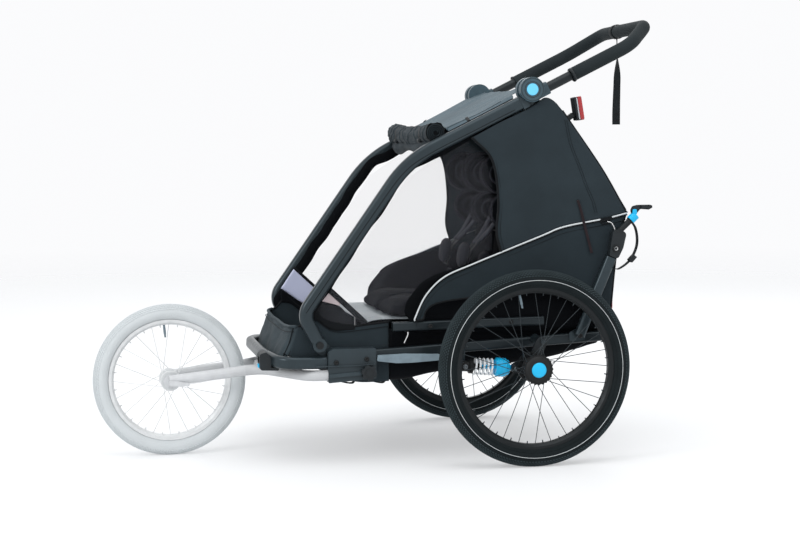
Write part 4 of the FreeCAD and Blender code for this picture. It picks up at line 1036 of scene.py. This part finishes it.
def roll():
    """The rolled front cover: a wrinkled roll with spiral ends, its ties, toggles and loose flap."""
    around, steps = 72, 110
    points = [roll_place(y, a) for y in np.linspace(-0.249, 0.249, steps) for a in turns(around)]
    faces = grid_faces(steps, around, False, True)
    body = piece("cover_roll", points, faces, "cloth_roll", "roof_frame", ["rolled_cover"])
    profile = [(0, -0.012), (0.0045, -0.0115), (0.006, -0.006), (0.0045, 0), (0.006, 0.006),
               (0.0045, 0.0115), (0, 0.012)]
    for name, side in SIDES.items():
        spiral = []
        for k in range(140):
            a = k / 140 * 2 * math.pi * 4
            radius = 0.006 + 0.0185 * k / 140
            spiral.append(ROLL_CENTRE + Vector((radius * math.cos(a), side * 0.2495,
                                                radius * math.sin(a))))
        sweep(f"roll_spiral_{name}", spiral, strap_section(0.006, 0.0020), "cloth_roll", "roof_frame")
        # A dark disc in each end of the roll: it closes the open end, and its dark colour is painted
        # shade between the rolled layers.
        end_shade_disc = [ROLL_CENTRE + Vector((0, side * y, 0)) for y in (0.236, 0.2480)]
        sweep(f"roll_end_shade_{name}", end_shade_disc, ring_section(0.0245, 40), "binding", "roof_frame", UP)
        tie = [roll_place(side * 0.150, a, 0.001) for a in np.linspace(0, 2 * math.pi, 40)]
        sweep(f"roll_tie_{name}", tie, strap_section(0.018, 0.0016), "webbing", "roof_frame")
        spot = roll_place(side * 0.150, math.radians(215), 0.004)
        lathe(f"roll_toggle_{name}", profile, spot, (0, 1, 0), "black_plastic", "roof_frame", 24)
    folds = [(-0.215, 0.3), (-0.185, -0.5), (-0.10, -0.4), (-0.03, 0.5), (0.03, -0.6), (0.08, -0.2),
             (0.18, 0.4), (0.21, 0.3)]
    for k, (y, lean) in enumerate(folds):
        line = [roll_place(y + lean * 0.03 * math.sin(2 * a), a, 0.0002) for a in np.linspace(1.0, 4.2,
                                                                                              40)]
        thread(f"roll_fold_{k}", line, 0.0012, "cloth_roll", "roof_frame")
    low, high = [], []
    for y in np.linspace(-0.235, 0.235, 50):
        droop = 0.004 * math.sin(y * 30) + 0.004 * math.cos(y * 11)
        high.append(ROLL_CENTRE + Vector((-0.012, y, -0.022)))
        low.append(ROLL_CENTRE + Vector((-0.006, y, -0.054 + droop)))
    ends = [smooth_line([low[k], (low[k] + high[k]) / 2 + Vector((-0.006, 0, 0)), high[k]],
                        12) for k in (0, -1)]
    flap = cloth("roll_flap", (low, high, *ends), "cloth_roll", 0.004, Vector((-1, 0, 0)), 0.004,
                 seed=50)
    as_sheet(flap, "roof_frame")


# ---------------- seats
def cushion_from(name, outline, low, high, shrink=0.006, cap=0.012):
    """A side-view outline between two distances along Y, shrunk and puffed."""
    count = len(outline)
    middle_x = sum(x for x, _ in outline) / count
    middle_z = sum(z for _, z in outline) / count
    inset = []
    for x, z in outline:
        way = Vector((x - middle_x, z - middle_z))
        inset.append((x - shrink * way.x / way.length, z - shrink * way.y / way.length))
    corners = [at(x, low + shrink, z) for x, z in inset] + [at(x, high - shrink, z) for x, z in inset]
    faces = [tuple(range(count)), tuple(range(2 * count - 1, count - 1, -1))]
    faces += [(k, k + count, (k + 1) % count + count, (k + 1) % count) for k in range(count)]
    thing = piece(name, corners, faces, "cloth_seat", None)
    bevel = thing.modifiers.new("round", "BEVEL")
    bevel.width, bevel.segments = 0.009, 3
    apply_modifiers(thing)
    inflate(thing, cap)
    return thing


CUSHION = [(-0.352, 0.376), (-0.352, 0.391), (-0.300, 0.412), (-0.160, 0.407), (-0.012, 0.397),
           (-0.004, 0.376)]
BACKREST = [(-0.024, 0.412), (0.020, 0.402), (0.060, 0.620), (0.092, 0.838), (0.060, 0.843),
            (0.032, 0.800), (0.000, 0.600)]


def seats():
    """Two cushions and two backrests with sewn seams, and the headrests with their wings."""
    for name, side in SIDES.items():
        low, high = sorted((side * 0.006, side * SEAT_HALF))
        base = cushion_from(f"seat_cushion_{name}", CUSHION, low, high)
        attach(base, "chassis")
        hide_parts("seat_cushions")
        rest = cushion_from(f"backrest_{name}", BACKREST, low, high, shrink=0.005, cap=0.010)
        seat_fold(rest)
        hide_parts("backrests")
        centre = side * (SEAT_HALF + 0.006) / 2
        for k, (x, z) in enumerate([(-0.012, 0.500), (0.000, 0.590), (0.016, 0.690)]):
            line = [at(x - 0.006, centre + reach, z) for reach in np.linspace(-0.093, 0.093, 9)]
            seat_fold(thread(f"back_seam_{name}_{k}", line, 0.0018, "binding", None, UP))
        for k, x in enumerate((-0.250, -0.150)):
            z = np.interp(x, (-0.30, -0.012), (0.412, 0.397)) + 0.0050
            line = [at(x, centre + reach, z) for reach in np.linspace(-0.092, 0.092, 9)]
            thread(f"cushion_seam_{name}_{k}", line, 0.0018, "binding", "chassis", UP)
        headrest(name, centre)


def rounded_loop(half, tall, radius, middle_z):
    """A closed rounded rectangle of (y, z) places."""
    loop = []
    for sy, sz, start in ((1, 1, 0), (-1, 1, 0.5), (-1, -1, 1.0), (1, -1, 1.5)):
        for k in range(8):
            a = math.pi * (start + k / 14)
            loop.append((sy * (half - radius) + radius * math.cos(a),
                         middle_z + sz * (tall - radius) + radius * math.sin(a)))
    return loop + loop[:1]


def seat_fold(thing):
    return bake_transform(thing)


def puffed_pad(name, centre, size, lean, look="cloth_pad"):
    """A crowned oval pad: wide along Y, tall along Z, thin along X, leaned back about Y."""
    points, rings, steps = [], 20, 40
    turn = Matrix.Rotation(lean, 3, "Y")
    for i in range(rings + 1):
        polar = math.pi * i / rings
        for a in turns(steps):
            y, z = math.sin(polar) * math.cos(a), math.sin(polar) * math.sin(a)
            square = 1 / max(abs(math.cos(a)), abs(math.sin(a))) ** 0.35
            x = -math.cos(polar) * abs(math.cos(polar)) ** -0.25 if abs(math.cos(polar)) > 1e-6 else 0
            points.append(centre + turn @ Vector((x * size[0], y * square * size[1],
                                                  z * square * size[2])))
    pad = piece(name, points, grid_faces(rings + 1, steps, False, True), look, None)
    weld = pad.modifiers.new("weld", "WELD")
    weld.merge_threshold = 0.0002
    apply_modifiers(pad)
    return pad


def pad_ring(name, centre, size, lean, share, lift, look="binding"):
    """A piping ring round a pad at a share of its size."""
    turn = Matrix.Rotation(lean, 3, "Y")
    line = []
    for a in turns(60, 1):
        square = 1 / max(abs(math.cos(a)), abs(math.sin(a))) ** 0.35
        x = -size[0] * lift
        line.append(centre + turn @ Vector((x, math.cos(a) * square * size[1] * share,
                                            math.sin(a) * square * size[2] * share)))
    return thread(name, line, 0.0022, look, None, turn @ BACK)


HEAD_WINGS = [("upper", -0.036, 0.750, 0.056), ("lower", -0.018, 0.651, 0.048)]
WING_HALF = 0.0125
BELT_CENTRE = 0.105


def headrest(name, centre_y):
    """The head pad between two wings, and the shoulder pad below it."""
    lean = 0.16
    pads = {
        "head": (at(0.030, centre_y, 0.745), (0.020, 0.074, 0.050)),
        "shoulder": (at(0.010, centre_y, 0.648), (0.016, 0.080, 0.042)),
    }
    for label, (centre, size) in pads.items():
        seat_fold(puffed_pad(f"{label}_pad_{name}", centre, size, lean, "cloth_seat"))
        for k, (share, lift) in enumerate(((0.98, 0.35), (0.66, 0.80))):
            seat_fold(pad_ring(f"{label}_piping_{name}_{k}", centre, size, lean, share, lift,
                               "cloth_pad"))
    for label, y in (("outer", 0.1925), ("inner", 0.0185)):
        for part, x, z, radius in HEAD_WINGS:
            side_wing(f"{part}_wing_{name}_{label}", at(x, SIDES[name] * y, z), radius, WING_HALF)


def side_wing(name, centre, radius, half):
    """A round stuffed wing seen from the side, with two rows of piping on each face."""
    profile = [(0, -half), (radius * 0.5, -half * 1.04), (radius * 0.85, -half * 0.8),
               (radius, -half * 0.25)]
    profile += [(r, -along) for r, along in profile[::-1]]
    seat_fold(lathe(name, profile, centre, (0, 1, 0), "cloth_seat", None, 64))
    for face in (-1, 1):
        for k, share in enumerate((0.93, 0.52)):
            depth = half * (0.62 if share > 0.9 else 1.05)
            loop = circle(centre, radius * share, 60, face * depth)
            seat_fold(thread(f"{name}_piping_{k}_{'in' if face < 0 else 'out'}", loop, 0.0030,
                             "cloth_pad", None))


def harness():
    """Shoulder webbing with pads, lap straps and the buckle of each seat."""
    for name, side in SIDES.items():
        for k, y in enumerate((0.066, 0.144)):
            near = BELT_CENTRE + (y - BELT_CENTRE) * 0.45
            line = [(0.020, y, 0.770), (0.002, y, 0.690), (-0.024, y, 0.630), (-0.060, near, 0.578),
                    (-0.098, near, 0.540),
                    (-0.112, BELT_CENTRE + (y - BELT_CENTRE) * 0.25, 0.490)]
            points = [at(x, side * w, z) for x, w, z in line]
            seat_fold(strap(f"shoulder_belt_{name}_{k}", points, 0.026, 0.002, "webbing", None))
            pad_points = [p + Vector((-0.004, 0, 0)) for p in smooth_line(points, 30)[13:23]]
            widths = [0.55 + 0.45 * min(1, 4 * math.sin(math.pi * (j + 0.6) / 10.2)) for j in range(10)]
            cover = sweep(f"belt_pad_{name}_{k}", pad_points, strap_section(0.030, 0.010), "cloth_belt",
                          None, scale=widths)
            seat_fold(subdivided(cover))
        for k, (x, z) in enumerate(((-0.116, 0.530), (-0.060, 0.505))):
            seat_fold(puffed_pad(f"harness_pad_{name}_{k}", at(x, side * BELT_CENTRE, z),
                                 (0.014, 0.034, 0.034), 0.2, "cloth_pad"))
        lap = [at(-0.030, side * w, z) for w,
               z in ((0.030, 0.435), (0.070, 0.452), (0.105, 0.462), (0.140, 0.452), (0.180, 0.435))]
        seat_fold(strap(f"lap_belt_{name}", lap, 0.026, 0.002, "webbing", None, UP))
        outline = [(-0.079, 0.446), (-0.074, 0.478), (-0.060, 0.484), (-0.053, 0.478), (-0.055, 0.446)]
        low, high = sorted((side * 0.083, side * 0.127))
        bevelled(f"buckle_{name}", outline, low, high, "black_plastic", "chassis", 0.004, ["harness"])
        centre = at(-0.0785, side * BELT_CENTRE, 0.463)
        lathe(f"buckle_button_{name}", [(0, 0.003), (0.009, 0.003), (0.0105, 0.001), (0.0105, -0.002),
                                        (0, -0.002)], centre,
              (-1, 0, 0.1), "red_lens", "chassis", 32)
        crotch = [at(-0.066, side * BELT_CENTRE, 0.448), at(-0.080, side * BELT_CENTRE, 0.432),
                  at(-0.105, side * BELT_CENTRE, 0.4165)]
        strap(f"crotch_belt_{name}", crotch, 0.026, 0.002, "webbing", "chassis", count=16)
        pad = puffed_pad(f"crotch_pad_{name}", at(-0.088, side * BELT_CENTRE, 0.447),
                         (0.010, 0.032, 0.036), -0.5, "cloth_pad")
        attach(pad, "chassis")


def subdivided(thing):
    more = thing.modifiers.new("subdivide", "SUBSURF")
    more.levels = more.render_levels = 1
    return apply_modifiers(thing)


def cabin_floor():
    """The silver-grey apron in front of the seats."""
    rows = [(-0.412, 0.366), (-0.385, 0.3725), (-0.340, 0.374), (-0.290, 0.3725)]
    left, right = (side_line(rows, 0.236, side, 20) for side in (-1, 1))
    bottom, top = straight_line([left[0], right[0]], 60), straight_line([left[-1], right[-1]], 60)
    apron = cloth("seat_apron", (bottom, top, left, right), "silver_mesh", -0.004, UP, 0.003, seed=40)
    as_sheet(apron, "chassis")


def silver_mesh():
    look = Look("silver_mesh", tone(128, 136, 140), 0.45, 0.3)
    holes = look.cells(330)
    look.paint(look.between(holes, 0.28, 0.34, 1, 0), tone(60, 66, 70)).bump(holes, 0.0006)
    look.rough(look.noise(30), 0.35, 0.6)
    return look


LOOKS["silver_mesh"] = silver_mesh()


# ---------------- wheels
def surface_of(node):
    """A search tree over a CAD node's surface."""
    return tree_of(NODES[node].data)


def tree_of(mesh):
    return BVHTree.FromPolygons([v.co for v in mesh.vertices],
                                [tuple(p.vertices) for p in mesh.polygons])


def tyre_ring(name, tree, centre, radius, side, lift, section, look, body):
    """A thin ring laid on a tyre's side at a radius."""
    line = []
    for spot in circle(centre, radius, 144):
        hit = tree.ray_cast(spot + Vector((0, side * 0.2, 0)), Vector((0, -side, 0)))[0]
        line.append(hit + Vector((0, side * lift, 0)) if hit else spot)
    return sweep(name, line, section, look, body)


def tread(name, centre, outer, section, body, look, rows, pitch_count, block):
    """Small rubber blocks over the tyre's crown and shoulders."""
    corners, faces = [], []
    for row in range(rows):
        lean = (row / (rows - 1) - 0.5) * 2
        angle = lean * math.radians(62)
        for k in range(pitch_count):
            turn = 2 * math.pi * (k + 0.5 * (row % 2)) / pitch_count
            ring = outer - section + section * math.cos(angle)
            y = section * math.sin(angle)
            around = Vector((-math.sin(turn), 0, math.cos(turn)))
            up = Vector((math.cos(turn), 0, math.sin(turn)))
            normal = up * math.cos(angle) + ACROSS * math.sin(angle)
            across = normal.cross(around)
            spot = centre + up * ring + Vector((0, y, 0))
            start = len(corners)
            for rise, grow in ((-0.0006, 1.0), (0.0016, 0.72)):
                for s, c in ((-1, -1), (1, -1), (1, 1), (-1, 1)):
                    corner = spot + normal * rise + around * (s * block[0] * grow)
                    corners.append(corner + across * (c * block[1] * grow))
            faces += [(start + 4, start + 5, start + 6, start + 7)]
            faces += [(start + j, start + (j + 1) % 4, start + 4 + (j + 1) % 4,
                       start + 4 + j) for j in range(4)]
            faces += [(start + 3, start + 2, start + 1, start)]
    return piece(name, corners, faces, look, body, smooth=False)


STRIPE_RADIUS, BEAD_RADIUS, SHOULDER_RADIUS = 0.2285, 0.2155, 0.2425
STRIPE_SECTION, BEAD_SECTION = ring_section(0.0013, 8, 0.5), ring_section(0.0010, 8)
NIPPLE_RADIUS, JOG_NIPPLE_RADIUS = 0.1935, 0.1475
SPOKE_COUNT, JOG_SPOKE_COUNT = 28, 20
NIPPLE_SPREAD = 0.006


def wheel_details(name, side):
    """Tread, reflective stripe, bead lines, valve, nipples and the hub's toothed disc and cap."""
    body, node = f"{name}_wheel", f"{name}_tyre"
    centre = middle(node)
    half = (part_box(node)[1].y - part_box(node)[0].y) / 2
    tree = surface_of(node)
    tread(f"tread_{name}", centre, WHEEL_RADIUS, half, body, "tread", 13, 190, (0.0031, 0.0019))
    for face, label in ((side, "outer"), (-side, "inner")):
        rings = [("stripe", STRIPE_RADIUS, 0.0006, STRIPE_SECTION, "piping")]
        rings += [("bead", BEAD_RADIUS, 0.0004, BEAD_SECTION, "tyre")]
        rings += [("shoulder_line", SHOULDER_RADIUS, 0.0002, ring_section(0.0008, 8), "tyre")]
        for kind, radius, lift, section, look in rings:
            tyre_ring(f"{kind}_{name}_{label}", tree, centre, radius, face, lift, section, look, body)
    nipples(f"nipples_{name}", centre, NIPPLE_RADIUS, SPOKE_COUNT, NIPPLE_SPREAD, body)
    valve(name, centre, 0.195, math.radians(102), body)
    hub_face = centre + Vector((0, side * 0.0285, 0))
    toothed = [(0.0395 if k % 4 < 2 else 0.0374, a) for k, a in enumerate(turns(96))]
    ring_piece(f"hub_teeth_{name}", hub_face, toothed, 0.021, side, 0.0045, "hub_black", body)
    profile = [(0.020, 0.000), (0.033, 0.000), (0.0355, 0.002), (0.0345, 0.0040), (0.024, 0.0062),
               (0.0215, 0.0078),
               (0.0195, 0.0078)]
    lathe(f"hub_shell_{name}", profile, hub_face + Vector((0, side * 0.002, 0)), (0, side, 0),
          "hub_black", body)
    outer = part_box(f"{name}_hub")
    face_y = outer[0].y if side < 0 else outer[1].y
    cap = [(0.0195, -0.0060), (0.0195, -0.0020), (0.0182, 0.0002), (0.0150, 0.0016), (0.0080, 0.0024),
           (0.0, 0.0027)]
    lathe(f"hub_cap_{name}", cap, Vector((centre.x, face_y, centre.z)), (0, side, 0), "blue_plastic",
          body)
    lathe(f"hub_cap_ring_{name}", [(0.0196, -0.006), (0.0222, -0.006), (0.0222, -0.0035),
                                   (0.0196, -0.0015)],
          Vector((centre.x, face_y, centre.z)), (0, side, 0), "hub_black", body)


def ring_piece(name, centre, outline, hole, side, thick, look, body):
    """A flat ring with a shaped edge, given as (radius, angle), round a round hole."""
    corners, count = [], len(outline)
    for depth in (0, side * thick):
        for radius, a in outline:
            corners.append(centre + Vector((radius * math.cos(a), depth, radius * math.sin(a))))
        for _, a in outline:
            corners.append(centre + Vector((hole * math.cos(a), depth, hole * math.sin(a))))
    faces = []
    for k in range(count):
        n = (k + 1) % count
        faces.append((k, n, count + n, count + k))
        faces.append((2 * count + n, 2 * count + k, 3 * count + k, 3 * count + n))
        faces.append((n, k, 2 * count + k, 2 * count + n))
        faces.append((count + k, count + n, 3 * count + n, 3 * count + k))
    return piece(name, corners, faces, look, body, smooth=False)


def nipples(name, centre, radius, count, width, body, look="spoke_steel"):
    """A nipple at each spoke's end."""
    parts = []
    for k in range(count):
        a = 2 * math.pi * (k + 0.5) / count
        up = Vector((math.cos(a), 0, math.sin(a)))
        spot = centre + up * radius + Vector((0, width * (1 if k % 2 else -1) * 0.5, 0))
        profile = [(0, -0.0055), (0.0013, -0.0053), (0.0015, -0.001), (0.0019, 0.0), (0.0019, 0.003),
                   (0, 0.0032)]
        parts.append(lathe(f"{name}_{k}", profile, spot, up, look, None, 10))
    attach(joined(name, parts), body)


def valve(name, centre, radius, angle, body):
    up = Vector((math.cos(angle), 0, math.sin(angle)))
    profile = [(0, -0.036), (0.0022, -0.0355), (0.0026, -0.033), (0.0026, -0.027), (0.0034, -0.026),
               (0.0034, -0.010),
               (0.0030, -0.009), (0.0030, 0.004), (0, 0.004)]
    lathe(f"valve_{name}", profile, centre + up * radius, up, "grey_plastic", body, 16)


def front_wheel_details():
    """Tread, stripe, bead, nipples and valve of the jogger wheel."""
    centre = middle("front_tyre")
    tree = surface_of("front_tyre")
    half = (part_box("front_tyre")[1].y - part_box("front_tyre")[0].y) / 2
    tread("tread_front", centre, JOG_RADIUS, half, "front_wheel", "jogger_tyre", 9, 170,
          (0.0028, 0.0019))
    for face, label in ((-1, "left"), (1, "right")):
        rings = [("stripe", JOG_RADIUS - 0.042, 0.0006, STRIPE_SECTION, "white_paint")]
        rings += [("bead", JOG_RADIUS - 0.050, 0.0004, BEAD_SECTION, "jogger_tyre")]
        for kind, radius, lift, section, look in rings:
            tyre_ring(f"{kind}_front_{label}", tree, centre, radius, face, lift, section, look,
                      "front_wheel")
    nipples("nipples_front", centre, JOG_NIPPLE_RADIUS, JOG_SPOKE_COUNT, NIPPLE_SPREAD, "front_wheel",
            "pale_alloy")
    valve("front", centre, 0.150, math.radians(95), "front_wheel")


# ---------------- suspension and frame details
SHOCK_AXIS = Vector((-0.99778, 0, 0.06652))
SHOCK_HALF = 0.334
CUP_STATIONS, CUP_RADII = (0.082, 0.088, 0.106, 0.119), (0.021, 0.024, 0.024, 0.017)


def shock_details(name, side):
    """A mesh of its own for the spring, ridges round the blue cup, rings round the damper and the two
    bolts.
    """
    axis = SHOCK_AXIS
    origin = at(-0.172, side * SHOCK_HALF, 0.257)
    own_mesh(NODES[f"{name}_spring"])
    for k in range(5):
        along = 0.0875 + 0.0070 * k
        radius = np.interp(along, CUP_STATIONS, CUP_RADII)
        profile = [(radius - 0.002, -0.0022), (radius + 0.0010, -0.0012), (radius + 0.0010, 0.0012),
                   (radius - 0.002, 0.0022)]
        lathe(f"cup_ridge_{name}_{k}", profile, origin - axis * along, axis, "blue_plastic",
              f"{name}_cup", 48)
    for k in range(3):
        profile = [(0.015, -0.0010), (0.0189, -0.0006), (0.0189, 0.0006), (0.015, 0.0010)]
        spot = origin - axis * (0.0135 + 0.0035 * k)
        lathe(f"damper_ring_{name}_{k}", profile, spot, axis, "hub_black", f"{name}_shock_body", 48)
    for label, x, z, body in (("front", -0.172, 0.257, f"{name}_shock_body"),
                              ("rear", -0.037, 0.248, f"{name}_arm")):
        bolt_head(f"shock_bolt_{name}_{label}", at(x, side * 0.3525, z), side, 0.0062, body, "steel")


def bolt_head(name, centre, side, radius, body, look):
    """A button head with a six-lobed recess."""
    profile = [(0, -0.004), (radius, -0.004), (radius, 0.0004), (radius * 0.86, 0.0016),
               (radius * 0.55, 0.0021),
               (radius * 0.47, 0.0021), (radius * 0.43, 0.0004), (0, 0.0004)]
    lathe(name, profile, centre, (0, side, 0), look, body, 36)


def frame_details(name, side):
    """Bolt heads, ridge lines and dark lines of painted shade along the tubes' keder grooves."""
    spots = {"pillar": (-0.540, 0.316, 0.2865), "rail_front": (-0.499, 0.271, 0.2943),
             "rail_rear": (-0.4195, 0.2775, 0.2943),
             "post": (0.152, 0.322, 0.3065), "seat_front": (-0.248, 0.357, 0.2828),
             "seat_rear": (-0.030, 0.362, 0.2800)}
    for label, (x, z, y) in spots.items():
        radius = 0.0078 if label == "pillar" else 0.0063
        bolt_head(f"bolt_{label}_{name}", at(x, side * (y - 0.0008), z), side, radius, "chassis",
                  "hub_black")
    groove = [(-0.575, 0.400), (-0.500, 0.506), (-0.400, 0.647), (-0.320, 0.752), (-0.250, 0.803),
              (-0.120, 0.8675), (-0.020, 0.9165)]
    line = side_line(groove, 0.2849, side, 100)
    # A dark thread along the tube's keder groove: painted shade in the groove.
    thread(f"keder_groove_{name}", line, 0.0009, "binding", "roof_frame")
    ridge = [at(-0.550, side * 0.2935, 0.262), at(-0.450, side * 0.2937, 0.262),
             at(-0.398, side * 0.2935, 0.264)]
    rope(f"casting_ridge_{name}", ridge, 0.0016, "dark_casting", "chassis", 30)
    wire = [at(-0.3078, side * 0.279, 0.343), at(-0.309, side * 0.2815, 0.335),
            at(-0.3186, side * 0.2815, 0.315)]
    rope(f"tension_wire_{name}", wire, 0.0014, "white_cord", "chassis", 20)
    rivet = at(0.250, side * 0.3062, 0.551)
    profile = [(0.0035, -0.002), (0.0075, -0.002), (0.0078, 0.0006), (0.0066, 0.0016), (0.0045, 0.0012),
               (0.0035, 0)]
    lathe(f"knuckle_rivet_{name}", profile, rivet, (0, side, 0), "pale_alloy", "chassis", 40)


def rear_straps(name, side):
    """The elastic on the side, the cord from the hook pocket and the bowed release webbing."""
    elastic = [(0.1496, 0.6797), (0.158, 0.655), (0.168, 0.616), (0.1884, 0.5393)]
    strap(f"side_elastic_{name}", side_view(elastic, PANEL_HALF + 0.0062, side), 0.007, 0.0016,
          "elastic", "chassis",
          Vector((0.96, 0, 0.27)), 30)
    cord = [(0.232, 0.622), (0.243, 0.618), (0.250, 0.608), (0.253, 0.598)]
    rope(f"hook_cord_{name}", side_view(cord, PANEL_HALF + 0.006, side), 0.0013, "white_cord",
         "chassis", 30)
    bow = [at(0.286, side * 0.2955, 0.630), at(0.306, side * 0.2975, 0.604),
           at(0.310, side * 0.2985, 0.560),
           at(0.292, side * 0.2975, 0.520), at(0.262, side * 0.295, 0.497),
           at(0.246, side * 0.293, 0.498)]
    strap(f"release_webbing_{name}", bow, 0.018, 0.0020, "webbing", "chassis", ACROSS, 50)
    buckle = [(0.286, 0.520), (0.300, 0.534), (0.309, 0.527), (0.295, 0.512)]
    low, high = sorted((side * 0.286, side * 0.3065))
    bevelled(f"webbing_slide_{name}", buckle, low, high, "black_plastic", "chassis", 0.0018)


def tail_light_details():
    """The lamp's clear band and ribbed red lens, and its clip's strap."""
    lean = Matrix.Rotation(math.radians(-9), 3, "Y")
    origin = at(0.164, -0.226, 0.920)
    for label, look, low, high, size in (("clear", "clear_lens", 0.0000, 0.0036, 0.0168),
                                         ("red", "red_lens", 0.0038, 0.0150, 0.0172)):
        loop = [(y, z) for y, z in rounded_loop(size, 0.0318, 0.006, 0)][:-1]
        corners = [origin + lean @ Vector((low, y, z)) for y,
                   z in loop] + [origin + lean @ Vector((high, y, z)) for y, z in loop]
        count = len(loop)
        faces = [(k, (k + 1) % count, (k + 1) % count + count, k + count) for k in range(count)]
        faces += [tuple(range(count))[::-1], tuple(range(count, 2 * count))]
        lens = piece(f"tail_lens_{label}", corners, faces, look, None)
        edge = lens.modifiers.new("edge", "BEVEL")
        edge.width, edge.segments, edge.limit_method = 0.0012, 3, "ANGLE"
        apply_modifiers(lens)
        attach(lens, "roof_frame")
    for k in range(5):
        z = -0.022 + 0.011 * k
        line = [origin + lean @ Vector((0.0151, y, z)) for y in (-0.013, 0, 0.013)]
        thread(f"tail_rib_{k}", line, 0.0012, "red_lens", "roof_frame", UP)
    clip = [at(0.140, -0.226, 0.893), at(0.132, -0.226, 0.885), at(0.138, -0.226, 0.872),
            at(0.150, -0.226, 0.876)]
    strap("tail_clip_strap", clip, 0.022, 0.003, "black_plastic", "roof_frame", ACROSS, 20)


def reflector_details():
    centre = middle("tail_reflector")
    for k in range(6):
        z = centre.z - 0.009 + 0.0036 * k
        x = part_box("tail_reflector")[1].x
        line = [Vector((x, centre.y + y, z)) for y in (-0.012, 0, 0.012)]
        thread(f"reflector_rib_{k}", line, 0.0009, "red_lens", "chassis", UP)


# ---------------- handlebar details
HANDLE_TILT = math.radians(26.3)
HANDLE_PIVOT = (0.024, 0.969)
ARM_DROP = 0.016
CROSSBAR_REACH, STRAP_Y, STRAP_RING = 0.392, 0.052, 0.0196


def on_handle(along, y, above=0.0):
    """A place along the handlebar's arm, measured from its pivot."""
    drop = above - ARM_DROP
    x = HANDLE_PIVOT[0] + along * math.cos(HANDLE_TILT) - drop * math.sin(HANDLE_TILT)
    z = HANDLE_PIVOT[1] + along * math.sin(HANDLE_TILT) + drop * math.cos(HANDLE_TILT)
    return at(x, y, z)


def handle_details():
    """Rings at the grip's ends and disc rings round the buttons."""
    arm = Vector((math.cos(HANDLE_TILT), 0, math.sin(HANDLE_TILT)))
    for name, side in SIDES.items():
        profile = [(0.0150, -0.003), (0.0186, -0.0026), (0.0194, 0), (0.0186, 0.0030), (0.0150, 0.0034)]
        lathe(f"grip_ring_{name}", profile, on_handle(0.119, side * 0.2777), arm, "black_plastic",
              "handlebar", 40)
        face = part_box("handle_hubs")
        y = face[0].y if side < 0 else face[1].y
        pivot_x, pivot_z = HANDLE_PIVOT
        centre = Vector((at(pivot_x, 0, pivot_z).x, y, pivot_z))
        for k, radius in enumerate((0.0205, 0.0295)):
            ring = [(radius - 0.0012, -0.001), (radius - 0.0008, 0.0006), (radius + 0.0008, 0.0006),
                    (radius + 0.0012, -0.001)]
            lathe(f"hub_ring_{name}_{k}", ring, centre, (0, side, 0), "dark_casting", "handlebar", 64)


def wrist_strap():
    """The safety strap: a loop round the crossbar, a half twist and a broad sewn end."""
    top = on_handle(CROSSBAR_REACH, STRAP_Y, ARM_DROP)
    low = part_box("wrist_strap")[0]
    drop = top.z - low.z
    loop = []
    for k in range(41):
        a = math.radians(-90 + 360 * k / 40)
        loop.append(top + Vector((STRAP_RING * math.cos(a), 0.004 * math.sin(a / 2),
                                  STRAP_RING * math.sin(a))))
    sweep("strap_loop", loop, strap_section(0.020, 0.0018), "webbing", "strap")
    rings = []
    count = 60
    for k in range(count):
        v = k / (count - 1)
        turn = math.radians(8 + 70 * max(0.0, 1 - abs(v - 0.16) / 0.30) + 62 * (1 - min(1, v / 0.75)))
        width = 0.0100 + 0.0012 * min(1, max(0, (v - 0.55) / 0.3))
        middle_point = top + Vector((0.0015 * math.sin(v * 5), 0, -0.0185 - (drop - 0.0185) * v))
        side_way = Vector((math.cos(turn), -math.sin(turn), 0))
        normal = Vector((math.sin(turn), math.cos(turn), 0))
        for s, n in strap_section(1.0, 0.2):
            rings.append(middle_point + side_way * (s * 2 * width) + normal * (n * 0.012))
    faces = grid_faces(count, 8, False, True) + [tuple(range(8))[::-1],
                                                 tuple(range(8 * count - 8, 8 * count))]
    tail = piece("wrist_strap_tail", rings, faces, "webbing", "strap", ["wrist_strap"])
    for k, drop_at in enumerate((0.012, 0.030)):
        z = low.z + drop_at
        line = [Vector((top.x + x, top.y - 0.0026, z)) for x in (-0.008, 0, 0.008)]
        thread(f"strap_stitch_{k}", line, 0.0006, "elastic", "strap", UP)


# ---------------- build
for side_name, side_sign in SIDES.items():
    panel = side_fabric(side_name, side_sign)
    finish_side_fabric(side_name, side_sign, tree_of(panel.data))
    lower_panel(side_name, side_sign)
    window(side_name, side_sign)
    pillar_sleeve(side_name, side_sign)
    wheel_details(side_name, side_sign)
    shock_details(side_name, side_sign)
    frame_details(side_name, side_sign)
    rear_straps(side_name, side_sign)
rear_fabric()
footwell()
belly()
roof()
roll()
seats()
harness()
cabin_floor()
front_wheel_details()
tail_light_details()
reflector_details()
handle_details()
wrist_strap()
